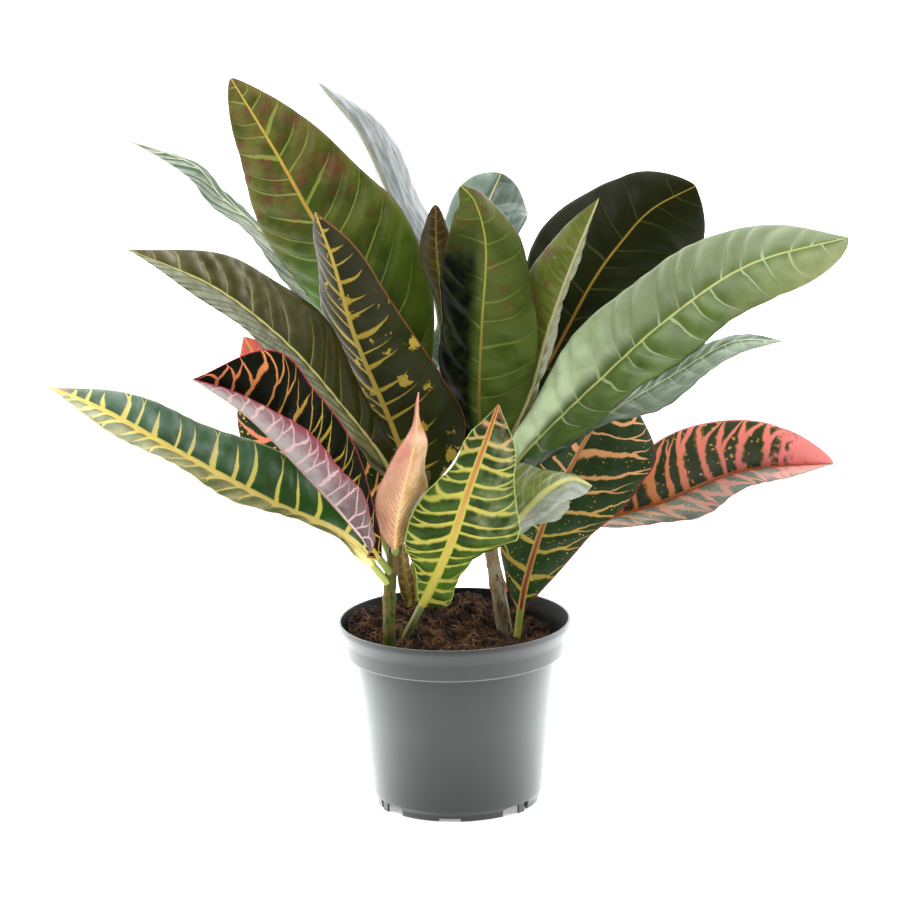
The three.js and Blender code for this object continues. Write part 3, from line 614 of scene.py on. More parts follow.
def crossSection(leaf, look, share, across):
    # A blade is a strip along the midrib. Each half leans by its own angle, is arched by the bow and
    # waved at its margin. Between lateral veins it is raised by the pleats, in a row of rounded humps.
    # On a half, s is the way along and w the way across, a and t are their shares, and q counts the veins.
    fine = leafFine
    place, right, front, length = wayAlong(leaf["line"], share)
    right, front = right[:, None], front[:, None]
    stalk = leaf["stalk"]
    along = np.clip((share - stalk) / (1 - stalk), 0, 1)
    opened = smoothRise(along, 0, fine["openedBy"])
    bladeLength = length * (1 - stalk)
    waveHeight, waveCount, wavePhase = leaf.get("wave", fine["wave"])
    envelope = (np.sin(np.pi * along) ** 0.7)[:, None]
    a = np.abs(across)[None, :]
    shapes = {}
    for side, key, part in ((-1, "left", 0), (1, "right", 1)):
        half = halfWidthAt(leaf, along, part)[:, None]
        s = (along * bladeLength)[:, None] + 0 * a
        w = half * a
        # the vein coordinate q grows by one from each lateral vein to the next, with a little sway
        foot = (s - w * (look["lean"][part] + look["sweep"] * a ** 2)) / bladeLength
        growth = look["everyTip"] - 1
        passed = foot if abs(growth) < 0.01 else np.log(np.maximum(1 + growth * foot, 0.2)) / growth
        q = passed * bladeLength / look["every"][part] + 0.4 * part
        q = q + 0.16 * np.sin(2.3 * q + look["seed"]) + 0.05 * np.sin(5 * a + 1.9 * q)
        # the rise off the half's own plane: its bow, its wave, the pleats and the rippled edge
        turn = 2 * np.pi * (waveCount * along + wavePhase + (0.3 if side < 0 else 0))[:, None]
        rise = leaf.get("bow", fine["bow"]) * half * 4 * a * (1 - a)
        rise = rise + waveHeight * envelope * a ** 1.6 * np.sin(turn)
        quilt = (np.sqrt(np.sin(np.pi * q) ** 2 + 0.05) - 0.22) / 0.8 - 0.5
        quilt = quilt * np.sin(np.pi * np.clip(a, 0, 1)) ** 0.8
        grown = smoothRise(half, fine["pleatFrom"], fine["pleatFull"])
        rise = rise + look["pleat"] * quilt * envelope * grown
        rise = rise + look["crimp"] * a ** 5 * np.sin(2 * np.pi * q) * envelope
        lean = (np.radians(smoothThrough(leaf[key], along)) * opened)[:, None, None]
        out = right * (side * np.cos(lean)) + front * np.sin(lean)
        up = front * np.cos(lean) - right * (side * np.sin(lean))
        point = place[:, None] + out * w[..., None] + up * rise[..., None]
        shapes[side] = {"point": point, "up": up + 0 * point, "s": s, "w": w * side, "q": q,
                        "a": a + 0 * s, "edge": half * (1 - a), "t": along[:, None] + 0 * s}
    return shapes, opened, along


def leafPiece(node, leaf):
    fine = leafFine
    look = {**plainLook, **leaf["look"]}
    length = evenWalk(leaf["line"], np.zeros(1))[1]
    half = fine["halfColumns"]
    across = np.linspace(-1, 1, 2 * half + 1)
    share = np.linspace(0, 1, int(length / fine["alongStep"]) + 1)
    if "blunt" in leaf:
        # closer rows at a round end
        share = np.r_[share[:-4], 1 - (1 - share[-4]) * np.linspace(1, 0, fine["endRows"]) ** 2]
    rows, columns = len(share), len(across)
    shapes, opened, along = crossSection(leaf, look, share, across)
    leftSide = across[None, :] < 0

    def joinHalves(key):
        onLeft = leftSide[..., None] if shapes[1][key].ndim == 3 else leftSide
        return np.where(onLeft, shapes[-1][key], shapes[1][key])

    # the blade's two faces, thickened round the midrib as by a round stalk
    point = joinHalves("point")
    up = joinHalves("up")
    up[:, half] = unit(shapes[-1]["up"][:, half] + shapes[1]["up"][:, half])
    rib = (fine["stalkRadius"] * (1 - 0.75 * along ** 0.7))[:, None]
    stalkRise = np.sqrt(np.maximum(rib ** 2 - joinHalves("w") ** 2, 0))
    thin = fine["blade"] / 2 * np.clip(joinHalves("edge") / fine["thinEdge"], 0.16, 1)
    above = np.maximum(thin, stalkRise * (1 - 0.8 * opened[:, None]))
    below = np.maximum(thin, stalkRise)
    points = np.concatenate([(point + up * above[..., None]).reshape(-1, 3),
                             (point - up * below[..., None]).reshape(-1, 3)]) * mm
    # upper and lower faces, and the strips that close the margins, the foot and the tip
    count = rows * columns
    upper = gridFaces(rows, columns)[:, ::-1]
    lower = gridFaces(rows, columns) + count
    first = np.arange(rows - 1) * columns
    last = first + columns - 1
    column = np.arange(columns - 1)
    tip = (rows - 1) * columns + column
    leftEdge = np.stack([first, first + columns, first + columns + count, first + count], -1)[:, ::-1]
    rightEdge = np.stack([last, last + columns, last + columns + count, last + count], -1)
    footFaces = np.stack([column, column + 1, column + 1 + count, column + count], -1)
    tipFaces = np.stack([tip, tip + 1, tip + 1 + count, tip + count], -1)[:, ::-1]
    faces = np.concatenate([upper, lower, leftEdge, rightEdge, footFaces, tipFaces])[:, ::-1]
    piece = makeMesh(node + "_blade", points, faces, leafPaint(node + "_paint", look))
    # corner values, so that the two halves keep their own lateral veins up to the midrib
    onLeft = (faces % columns).max(axis=1)[:, None] <= half
    corner = faces % count
    under = (faces >= count).all(axis=1)

    def atCorners(key):
        return np.where(onLeft, shapes[-1][key].ravel()[corner], shapes[1][key].ravel()[corner])

    bladePlace = np.stack([atCorners("s") * mm, atCorners("w") * mm, atCorners("t")], -1)
    veinPlace = np.stack([atCorners("q"), atCorners("a"), atCorners("edge") * mm], -1)
    for name, values in (("bladePlace", bladePlace), ("veinPlace", veinPlace)):
        layer = piece.data.attributes.new(name, "FLOAT_VECTOR", "CORNER")
        layer.data.foreach_set("vector", values.ravel())
    layer = piece.data.attributes.new("under", "FLOAT", "CORNER")
    layer.data.foreach_set("value", np.repeat(under.astype(float), 4))
    standFor(piece, node)


# how fine each cloud of the leaves' patterns is, for each metre
leafClouds = {"rough": 700, "swell": 240, "drift": 110, "shade": 55, "streak": 330, "pores": 2600}


def leafPlaces(tree, look):
    # the coordinates on the blade, and clouds of three sizes that every pattern on it reads
    at = SimpleNamespace()
    at.s, at.w, at.t = parted(tree, readAttribute(tree, "bladePlace").outputs["Vector"])
    q, at.a, at.edge = parted(tree, readAttribute(tree, "veinPlace").outputs["Vector"])
    at.side = calc(tree, "SIGN", at.w)
    at.right = calc(tree, "MULTIPLY_ADD", at.side, 0.5, 0.5)
    at.left = calc(tree, "SUBTRACT", 1.0, at.right)
    at.flat = joined(tree, at.s, at.w, look["seed"] * 0.37)
    at.rough, at.swell, at.drift = (calc(tree, "SUBTRACT", cloud(tree, at.flat, leafClouds[name], 2), 0.5)
                                    for name in ("rough", "swell", "drift"))
    at.q = calc(tree, "MULTIPLY_ADD", at.drift, look["warp"], q)
    return at


def leafVeins(tree, look, at):
    # lateral veins lie at whole numbers of the vein coordinate; each forks, fades and varies by its own draw
    everyLeft, everyRight = look["every"]
    every = calc(tree, "MULTIPLY_ADD", at.right, (everyRight - everyLeft) * mm, everyLeft * mm)
    every = calc(tree, "MULTIPLY", every, calc(tree, "MULTIPLY_ADD", at.t, look["everyTip"] - 1, 1.0))
    index = calc(tree, "ROUND", at.q)
    draw = tree.nodes.new("ShaderNodeTexWhiteNoise")
    draw.noise_dimensions = "2D"
    row = calc(tree, "MULTIPLY_ADD", at.side, 7.0, look["seed"])
    plug(tree, draw.inputs["Vector"], joined(tree, index, row, 0.0))
    drawFork, drawWide, drawReach = parted(tree, draw.outputs["Color"])

    # distance from the nearest vein, which splits in two beyond its fork
    forkAt, forkSpread = look["fork"]
    forkStart = calc(tree, "MULTIPLY_ADD", drawFork, 0.3, forkAt - 0.15)
    beyond = calc(tree, "MAXIMUM", calc(tree, "SUBTRACT", at.a, forkStart), 0.0)
    spread = calc(tree, "MINIMUM", calc(tree, "MULTIPLY", beyond, forkSpread), 0.5)
    off = calc(tree, "ABSOLUTE", calc(tree, "SUBTRACT", at.q, index))
    away = calc(tree, "MULTIPLY", calc(tree, "ABSOLUTE", calc(tree, "SUBTRACT", off, spread)), every)

    # half width of that vein, which tapers to nothing where its reach ends
    inner, outer = look["veinWide"]
    wide = calc(tree, "MULTIPLY_ADD", at.a, (outer - inner) * mm, inner * mm)
    wide = calc(tree, "MULTIPLY", wide, calc(tree, "MULTIPLY_ADD", drawWide, 0.6, 0.7))
    wide = calc(tree, "MULTIPLY", wide, calc(tree, "MULTIPLY_ADD", at.swell, look["swell"], 1.0))
    reach = calc(tree, "MULTIPLY_ADD", drawReach, 0.3, look["reach"] - 0.15)
    rest = calc(tree, "DIVIDE", calc(tree, "SUBTRACT", reach, at.a), look["taper"])
    at.inReach = rampBetween(tree, rest, 0.0, 0.15)
    rest = calc(tree, "MINIMUM", calc(tree, "MAXIMUM", rest, 0.05), 1.0)
    at.wide = calc(tree, "MULTIPLY", wide, rest)
    uneven = calc(tree, "MULTIPLY", at.rough, rest)
    at.away = calc(tree, "MULTIPLY_ADD", uneven, look["ragged"] * 2 * mm, away)
    lateral = rampBetween(tree, at.away, calc(tree, "MULTIPLY_ADD", at.wide, 1 + look["soft"], 0.1 * mm),
                          calc(tree, "MULTIPLY", at.wide, 1 - look["soft"]))
    show = calc(tree, "MULTIPLY_ADD", at.t, look["showTip"] - look["show"], look["show"])
    at.veins = calc(tree, "MULTIPLY", calc(tree, "MULTIPLY", lateral, at.inReach), show)

    # the midrib, which narrows toward the tip
    half = calc(tree, "MULTIPLY_ADD", calc(tree, "POWER", at.t, 3.0), -0.72, 1.0)
    half = calc(tree, "MULTIPLY", half, look["ribWide"] * mm / 2)
    middle = calc(tree, "MULTIPLY_ADD", at.rough, look["ragged"] * 1.6 * mm, calc(tree, "ABSOLUTE", at.w))
    at.ribBand, at.ribCore = (rampBetween(tree, middle, calc(tree, "MULTIPLY", half, far),
                                          calc(tree, "MULTIPLY", half, near))
                              for far, near in ((1.15, 0.85), (0.75, 0.35)))


def leafSpots(tree, look, at):
    # small spots of uneven size, drawn out of round by a shift of their coordinates
    size = look["speckleSize"] * mm
    shift = joined(tree, calc(tree, "MULTIPLY_ADD", at.rough, size, look["seed"] * 0.1),
                   calc(tree, "MULTIPLY", at.swell, 1.4 * size), 0.0)
    moved = tree.nodes.new("ShaderNodeVectorMath")
    plug(tree, moved.inputs[0], at.flat)
    plug(tree, moved.inputs[1], shift)
    dots = tree.nodes.new("ShaderNodeTexVoronoi")
    dots.voronoi_dimensions = "2D"
    dots.inputs["Scale"].default_value = 1 / size
    plug(tree, dots.inputs["Vector"], moved.outputs[0])
    chance = parted(tree, dots.outputs["Color"])[0]
    radius = calc(tree, "MULTIPLY", calc(tree, "SUBTRACT", look["speckle"], chance), look["speckWide"])
    return rampBetween(tree, calc(tree, "SUBTRACT", dots.outputs["Distance"], radius), 0.05, -0.05)


def leafCells(tree, look, at):
    # the blade between its veins: two greens along the leaf, a darker one in clouds, patches, halos and spots
    cell = blendColours(tree, at.t, paint(look["cell"]), paint(look["cellTip"]))
    shade = rampBetween(tree, cloud(tree, at.flat, leafClouds["shade"], 3), 0.62, 0.36)
    cell = blendColours(tree, calc(tree, "MULTIPLY", shade, look["darkShare"]), cell, paint(look["dark"]))
    if look["blotchShare"]:
        start = 0.66 - 0.25 * look["blotchShare"]
        patch = cloud(tree, at.flat, 1 / (look["blotchSize"] * mm), 5, 0.65)
        patch = rampBetween(tree, patch, start, start + 0.16)
        begin = rampBetween(tree, at.t, look["blotchFrom"] - 0.12, look["blotchFrom"] + 0.12)
        patch = calc(tree, "MULTIPLY", calc(tree, "MULTIPLY", patch, 0.85), begin)
        cell = blendColours(tree, patch, cell, paint(look["blotch"]))
    if look["haloWide"]:
        near = rampBetween(tree, at.away, calc(tree, "ADD", at.wide, look["haloWide"] * 2 * mm), at.wide)
        near = calc(tree, "MULTIPLY", near, calc(tree, "MULTIPLY_ADD", at.rough, 1.6, 0.5))
        cell = blendColours(tree, calc(tree, "MULTIPLY", near, at.inReach), cell, paint(look["halo"]))
    if look["speckle"]:
        cell = blendColours(tree, leafSpots(tree, look, at), cell, paint(look["speck"]))
    return cell


def leafHalfTintsSheenShade(tree, look, at, colour):
    # a tint over one half or the other, which may begin partway along the leaf. On several leaves it is
    # painted sheen and on one a painted shadow, and a wave between the veins lays it heavier on one side of
    # each pleat, as painted light and shade.
    pleatLightWave = calc(tree, "COSINE", calc(tree, "MULTIPLY", calc(tree, "SUBTRACT", at.q, 0.2), 2 * np.pi))
    for onHalf, half in ((at.left, "left"), (at.right, "right")):
        tint, share, *tipTint = look[half]
        if not share:
            continue
        cover = calc(tree, "MULTIPLY", onHalf, calc(tree, "MULTIPLY_ADD", at.drift, 0.8, share))
        cover = calc(tree, "MULTIPLY", cover, calc(tree, "MULTIPLY_ADD", pleatLightWave, look["pleatLight"], 1.0))
        cover = calc(tree, "MULTIPLY", cover, rampBetween(tree, at.a, 0.02, 0.3))
        cover = calc(tree, "MULTIPLY", cover, rampBetween(tree, at.t, *look[half + "Span"]))
        along = rampBetween(tree, at.t, 0.05, 0.55)
        over = blendColours(tree, along, paint(tint), paint((tipTint or [tint])[0]))
        colour = blendColours(tree, calc(tree, "MAXIMUM", cover, 0.0), colour, over)
    return colour


def leafUpperFace(tree, look, at):
    vein = blendColours(tree, at.a, paint(look["vein"]), paint(look["veinEdge"]))
    if look["veinTip"]:
        vein = blendColours(tree, rampBetween(tree, at.t, *look["veinTipSpan"]), vein, paint(look["veinTip"]))
    colour = blendColours(tree, at.veins, leafCells(tree, look, at), vein)
    tipPlace = calc(tree, "ADD", calc(tree, "MULTIPLY_ADD", at.rough, 0.05, at.t),
                    calc(tree, "MULTIPLY", at.swell, 0.3))
    inTip = rampBetween(tree, tipPlace, look["tipFrom"] - 0.05, look["tipFrom"] + 0.05)
    colour = blendColours(tree, inTip, colour, paint(look["tip"]))
    colour = blendColours(tree, at.border, colour, paint(look["margin"]))
    colour = blendColours(tree, at.ribBand, colour, paint(look["ribEdge"]))
    rib = blendColours(tree, at.t, paint(look["rib"]), paint(look["ribTip"]))
    colour = blendColours(tree, at.ribCore, colour, rib)
    return leafHalfTintsSheenShade(tree, look, at, colour)


def leafLowerFace(tree, look, at):
    # one colour by the midrib, one farther out and one toward the margin
    middle = rampBetween(tree, calc(tree, "MULTIPLY_ADD", at.drift, 0.5, at.a), 0.15, 0.5)
    outer = rampBetween(tree, calc(tree, "MULTIPLY_ADD", at.drift, 0.6, at.a), 0.6, 0.95)
    colour = blendColours(tree, middle, paint(look["under"]), paint(look["underMid"] or look["under"]))
    colour = blendColours(tree, outer, colour, paint(look["underEdge"] or look["under"]))
    if look["underFoot"]:
        foot = rampBetween(tree, calc(tree, "MULTIPLY_ADD", at.drift, 0.4, at.t), 0.5, 0.2)
        colour = blendColours(tree, foot, colour, paint(look["underFoot"]))
    net = calc(tree, "MAXIMUM", calc(tree, "MULTIPLY", at.veins, 0.7), at.ribBand)
    colour = blendColours(tree, net, colour, paint(look["underVein"]))
    return blendColours(tree, at.border, colour, paint(look["margin"]))


def leafPaint(name, look):
    material, tree, shader = startMaterial(name)
    at = leafPlaces(tree, look)
    leafVeins(tree, look, at)
    border = look["marginWide"] * mm
    unevenEdge = calc(tree, "MULTIPLY_ADD", at.rough, 0.6 * mm, at.edge)
    at.border = rampBetween(tree, unevenEdge, border, border * 0.4)
    under = readAttribute(tree, "under").outputs["Fac"]
    colour = blendColours(tree, under, leafUpperFace(tree, look, at), leafLowerFace(tree, look, at))
    if look["streakShare"]:
        # pale streaks that run along the leaf; on leaf_pale_left and leaf_silver_right they are painted sheen
        stretched = joined(tree, calc(tree, "MULTIPLY", at.s, 0.12), at.w, look["seed"] * 0.37)
        lines = rampBetween(tree, cloud(tree, stretched, leafClouds["streak"], 4), 0.42, 0.66)
        colour = blendColours(tree, calc(tree, "MULTIPLY", lines, look["streakShare"]), colour,
                              paint(look["streak"]))
    colour = blendColours(tree, rampBetween(tree, at.t, 0.012, 0.0), colour, paint(look["stalkSkin"]))
    pores = cloud(tree, at.flat, leafClouds["pores"], 2)
    plug(tree, shader.inputs["Base Color"], colour)
    plug(tree, shader.inputs["Roughness"], calc(tree, "MULTIPLY_ADD", pores, 0.12, look["rough"] - 0.06))
    shader.inputs["Specular IOR Level"].default_value = look["gloss"]
    groove = calc(tree, "MULTIPLY_ADD", pores, 0.25, calc(tree, "MULTIPLY", at.veins, -0.5))
    addBump(tree, shader, groove, 0.25 * mm)
    return material


for node, leaf in leaves.items():
    leafPiece(node, leaf)
print("leaves", len(leaves))


# Stems
# line: points of the stem's middle. radius: at the foot and at the top. scars: where along it leaves have
# fallen off. skin and shade: the bark's two colours, in patches. crack: the colour of its fine dark streaks.

stems = {
    "stem_left": {
        "line": [(-31, -27, 62), (-36, -32, 98), (-34, -33, 143), (-27, -26, 166), (-15, -8, 186),
                 (-9, 5, 201), (-5, 16, 216)],
        "radius": (3.7, 2.5), "scars": (0.36, 0.52, 0.6, 0.72, 0.86),
        "skin": "3c4a0e", "shade": "62502a", "crack": "241c0c",
    },
    "stem_right": {
        "line": [(31, 12, 60), (28, 12, 92), (25, 12, 115), (21, 12, 143), (21, 12, 172), (22, 14, 204)],
        "radius": (4.9, 2.6), "scars": (0.42, 0.58, 0.68, 0.78, 0.88),
        "skin": "868266", "shade": "7c6448", "crack": "44342a",
    },
}

stemFine = {"rows": 220, "sides": 48, "scarHeight": 0.7, "scarSpread": 0.02, "ridge": 0.16, "lumps": 0.5,
            "roundedTop": 0.012, "roughness": 0.6, "specular": 0.2, "barkDepth": 0.5}


def stemPiece(node, stem):
    # a tapering round stem, swollen at each leaf scar, with shallow ridges running up its bark
    fine = stemFine
    rows, sides = fine["rows"], fine["sides"]
    share = np.linspace(0, 1, rows)
    angle = np.linspace(0, 2 * np.pi, sides, endpoint=False)
    place, right, front, _ = wayAlong(stem["line"], share)
    foot, top = stem["radius"]
    radius = foot + (top - foot) * share
    for scar in stem["scars"]:
        radius = radius + fine["scarHeight"] * np.exp(-((share - scar) / fine["scarSpread"]) ** 2)
    radius = radius * np.sqrt(np.clip((1 - share) / fine["roundedTop"], 0, 1) * 0.96 + 0.04)
    ridge = fine["ridge"] * np.sin(9 * angle[None, :] + 3 * np.sin(7 * share[:, None]))
    lumps = valueNoise(angle[None, :] * 4 + 0 * share[:, None], share[:, None] * 60, 1, 5)
    ridge = ridge + fine["lumps"] * lumps
    size = radius[:, None] + ridge * (radius[:, None] > 1)
    points = (place[:, None] + right[:, None] * (np.cos(angle) * size)[..., None]
              + front[:, None] * (np.sin(angle) * size)[..., None]) * mm
    material, tree, shader = startMaterial(node + "_bark")
    spot = objectPlace(tree)
    stretch = tree.nodes.new("ShaderNodeMapping")
    stretch.inputs["Scale"].default_value = (1, 1, 0.3)
    plug(tree, stretch.inputs["Vector"], spot)
    streak = cloud(tree, stretch.outputs[0], 420, 4)
    patch = rampBetween(tree, cloud(tree, spot, 110, 3), 0.42, 0.62)
    colour = blendColours(tree, patch, paint(stem["skin"]), paint(stem["shade"]))
    colour = blendColours(tree, rampBetween(tree, streak, 0.44, 0.32), colour, paint(stem["crack"]))
    plug(tree, shader.inputs["Base Color"], colour)
    shader.inputs["Roughness"].default_value = fine["roughness"]
    shader.inputs["Specular IOR Level"].default_value = fine["specular"]
    addBump(tree, shader, streak, fine["barkDepth"] * mm)
    piece = makeMesh(node + "_bark", points, cappedFaces(rows, sides), material)
    standFor(piece, node)


for node, stem in stems.items():
    stemPiece(node, stem)
print("stems")


# Pot
# Radii and heights of the profile, then the cuts in it, each at its angles in degrees, then the plastic.

potPlan = {
    "rim": 65, "height": 104, "lip": 4.5, "collar": 20, "collarTop": 62.3, "collarFoot": 61.2,
    "bodyTop": 55.4, "bodyFoot": 47.5, "wall": 1.3, "parting": 51, "footHeight": 6, "foot": 45.8,
    "footWall": 1.8, "floor": 3.2, "pad": 18, "sides": 192,
    "slots": (35, 135, 215, 315), "slotAngle": 24,
    "tabs": (30, 139, 210, 319), "tabWide": 4.5, "tabHigh": 5.6,
    "notches": (84, 174, 264, 354), "notchWide": 12, "notchHigh": 1.7,
    "drains": (20, 65, 110, 155, 200, 245, 290, 335), "drainWide": 7, "drainAt": 32,
    "plastic": ("0d100f", "131716"), "specular": 0.45, "sheen": 0.88, "sheenRoughness": 0.5,
    "sheenTint": (0.93, 1.0, 0.99, 1.0), "grainDepth": 0.05,
    "inside": ("0c0d0d", "191817"), "insideRoughness": 0.6, "insideSpecular": 0.2,
}


def roundedProfile(corners):
    # each corner is (radius, height, rounding), and becomes an arc that begins and ends that far from it
    corners = np.array(corners, float)
    result = []
    for k, (x, z, size) in enumerate(corners):
        here = np.array([x, z])
        if size == 0 or k in (0, len(corners) - 1):
            result.append(here)
            continue
        before, after = corners[k - 1, :2], corners[k + 1, :2]
        size = min(size, 0.45 * np.linalg.norm(before - here), 0.45 * np.linalg.norm(after - here))
        start = here + unit(before - here) * size
        end = here + unit(after - here) * size
        share = np.linspace(0, 1, 6)[:, None]
        result.extend((1 - share) ** 2 * start + 2 * share * (1 - share) * here + share ** 2 * end)
    return np.array(result)


def blocksAt(piece, operation, places, size, radius, height):
    # a block is cut out of the piece, or joined to it, at each angle, at one radius and height
    points = []
    faces = []
    box = np.array([(x, y, z) for x in (-1, 1) for y in (-1, 1) for z in (-1, 1)]) * np.array(size) / 2
    sides = np.array([(0, 1, 3, 2), (4, 6, 7, 5), (0, 4, 5, 1), (2, 3, 7, 6), (0, 2, 6, 4), (1, 5, 7, 3)])
    for number, place in enumerate(places):
        angle = np.radians(place)
        turn = np.array([(np.cos(angle), -np.sin(angle), 0), (np.sin(angle), np.cos(angle), 0), (0, 0, 1)])
        points.append((box + (radius, 0, height)) @ turn.T)
        faces.extend((sides + 8 * number).tolist())
    block = makeMesh("block", np.concatenate(points) * mm, faces, piece.data.materials[0])
    cut = piece.modifiers.new("cut", "BOOLEAN")
    cut.operation = operation
    cut.solver = "EXACT"
    cut.object = block
    bpy.context.view_layer.objects.active = piece
    bpy.ops.object.modifier_apply(modifier=cut.name)
    bpy.data.objects.remove(block)


def potProfile():
    # from the middle of the underside out, up the outside, over the rim, and down the inside to the middle
    plan = potPlan
    height, wall, pad = plan["height"], plan["wall"], plan["pad"]
    footHeight, foot, floor = plan["footHeight"], plan["foot"], plan["floor"]
    bodyTop = height - plan["collar"]
    under = bodyTop + 0.6
    lipFoot = height - plan["lip"] - 2
    footInside = foot - plan["footWall"]
    # the body steps out by a hair where the two parts of the mould met
    rise = (plan["parting"] - footHeight) / (bodyTop - footHeight)
    atParting = plan["bodyFoot"] + (plan["bodyTop"] - plan["bodyFoot"]) * rise
    return roundedProfile([
        (0.05, 0, 0), (pad, 0, 0.6), (pad + 1, floor, 1), (footInside - 0.6, floor, 1),
        (footInside, 0, 0.4), (foot, 0, 0.5), (foot + 0.3, footHeight - 2.6, 0.5),
        (plan["bodyFoot"] - 0.4, footHeight - 0.6, 1.6), (plan["bodyFoot"], footHeight + 2.4, 1.6),
        (atParting - 0.08, plan["parting"], 0), (atParting + 0.08, plan["parting"] + 0.3, 0),
        (plan["bodyTop"], bodyTop, 1.2), (plan["collarFoot"], under + 0.8, 1.0),
        (plan["collarTop"], lipFoot - 3, 1.6), (plan["rim"] - 1.6, lipFoot, 1.6),
        (plan["rim"], height - 2.6, 1.2), (plan["rim"] - 0.4, height, 0.9), (plan["rim"] - 1.4, height, 0.5),
        (plan["collarTop"] - wall, lipFoot - 2, 1.5), (plan["collarFoot"] - wall, under + wall, 0.6),
        (plan["bodyTop"] - wall, bodyTop + wall, 0.8), (plan["bodyFoot"] - wall, footHeight + 0.5, 1),
        (plan["bodyFoot"] - wall - 1.4, floor + wall, 0.5), (pad, floor + wall, 0.5), (pad - 1, wall, 0.3),
        (0.05, wall, 0)])


def potPaint():
    # the plastic shows a soft sheen, and its roughness drifts a little
    plan = potPlan
    material, tree, shader = startMaterial("pot_plastic")
    spot = objectPlace(tree)
    grain = cloud(tree, spot, 900, 3)
    haze = cloud(tree, spot, 18, 3)
    colour = blendColours(tree, rampBetween(tree, haze, 0.35, 0.7), *map(paint, plan["plastic"]))
    plug(tree, shader.inputs["Base Color"], colour)
    plug(tree, shader.inputs["Roughness"], calc(tree, "MULTIPLY_ADD", haze, 0.15, 0.42))
    shader.inputs["Specular IOR Level"].default_value = plan["specular"]
    shader.inputs["Sheen Weight"].default_value = plan["sheen"]
    shader.inputs["Sheen Roughness"].default_value = plan["sheenRoughness"]
    shader.inputs["Sheen Tint"].default_value = plan["sheenTint"]
    addBump(tree, shader, grain, plan["grainDepth"] * mm)
    return material


def potInsidePaint():
    plan = potPlan
    material, tree, shader = startMaterial("pot_inside")
    dust = cloud(tree, objectPlace(tree), 160, 4)
    colour = blendColours(tree, rampBetween(tree, dust, 0.4, 0.7), *map(paint, plan["inside"]))
    plug(tree, shader.inputs["Base Color"], colour)
    shader.inputs["Roughness"].default_value = plan["insideRoughness"]
    shader.inputs["Specular IOR Level"].default_value = plan["insideSpecular"]
    return material


def potPiece():
    # the profile turned round the upright axis, then cut
    plan = potPlan
    profile = potProfile()
    rows, sides = len(profile), plan["sides"]
    angle = np.linspace(0, 2 * np.pi, sides, endpoint=False)
    points = np.stack([profile[:, :1] * np.cos(angle), profile[:, :1] * np.sin(angle),
                       profile[:, 1:] + 0 * angle], -1) * mm
    faces = cappedFaces(rows, sides)
    piece = makeMesh("pot_shell", points, faces, potPaint())
    # faces inward of the rim's top take the inside's finish
    piece.data.materials.append(potInsidePaint())
    innerRow = int(np.argmax(profile[:, 1] - 0.01 * profile[:, 0])) + 5
    number = np.arange(len(faces))
    isInner = (number >= innerRow * sides) & (number < (rows - 1) * sides)
    piece.data.polygons.foreach_set("material_index", isInner.astype(np.int32))
    slotLong = 2 * plan["bodyFoot"] * np.sin(np.radians(plan["slotAngle"] / 2))
    slotHigh = 2 * (plan["footHeight"] - 1)
    blocksAt(piece, "DIFFERENCE", plan["slots"], (6, slotLong, slotHigh), plan["foot"], 0)
    blocksAt(piece, "DIFFERENCE", plan["notches"], (6, plan["notchWide"], 2 * plan["notchHigh"]),
             plan["foot"], 0)
    blocksAt(piece, "DIFFERENCE", plan["drains"], (12, plan["drainWide"], 6), plan["drainAt"],
             plan["floor"] + 1)
    blocksAt(piece, "UNION", plan["tabs"], (plan["wall"], plan["tabWide"], plan["tabHigh"]),
             plan["foot"] + 0.35, plan["tabHigh"] / 2)
    piece.data.set_sharp_from_angle(angle=np.radians(40))
    standFor(piece, "pot")


potPiece()
print("pot")


# Soil
# heaps: (x, y, spread, rise) on the level. bumps: (height, width) of each size of crumbly unevenness.

soilPlan = {
    "level": 95, "heaps": [(-20, 18, 24, 5), (4, 40, 16, 8), (-48, -2, 16, 7), (-47, 22, 11, 4),
                           (48, 12, 22, -6), (0, -44, 18, -1)],
    "bumps": ((3.4, 6), (1.6, 2.4), (0.8, 1.0)), "rings": 110, "sides": 300, "clear": 0.3,
    "crumbs": 2400, "fibres": 1300, "fibreRows": 9, "fibreSides": 3,
    "peat": ("140c08", "402a1c"), "peatFleck": "664a34", "peatRoughness": 0.95, "peatDepth": 0.6,
    "fibre": ("2e1e12", "7e5a38"), "fibreRoughness": 0.8, "specular": 0.2,
}


def soilHeight(x, y):
    # the level, plus a bell for each heap and small uneven waves
    height = soilPlan["level"] + 0.7 * np.sin(x / 4.1 + 1) * np.cos(y / 4.7) + 0.5 * np.sin(x / 2.3 - y / 3.1)
    for heapX, heapY, spread, rise in soilPlan["heaps"]:
        height = height + rise * np.exp(-((x - heapX) ** 2 + (y - heapY) ** 2) / (2 * spread ** 2))
    return height


def soilTop(x, y):
    # the heaps with crumbly bumps of three sizes on them
    bumps = sum(high * valueNoise(x, y, wide, seed)
                for seed, (high, wide) in enumerate(soilPlan["bumps"], start=1))
    return soilHeight(x, y) + bumps


def crumbFacesOf(shape):
    # triangles of a ball of 12 points: each joins three points that lie one edge apart, and faces outward
    gaps = np.linalg.norm(shape[:, None] - shape[None], axis=-1)
    close = (gaps > 0.1) & (gaps < 1.2)
    i, j, k = np.indices((12, 12, 12)).reshape(3, -1)
    found = (i < j) & (j < k) & close[i, j] & close[j, k] & close[i, k]
    i, j, k = i[found], j[found], k[found]
    outward = (np.cross(shape[j] - shape[i], shape[k] - shape[i]) * shape[i]).sum(axis=1) > 0
    return np.where(outward[:, None], np.stack([i, j, k], -1), np.stack([i, k, j], -1))


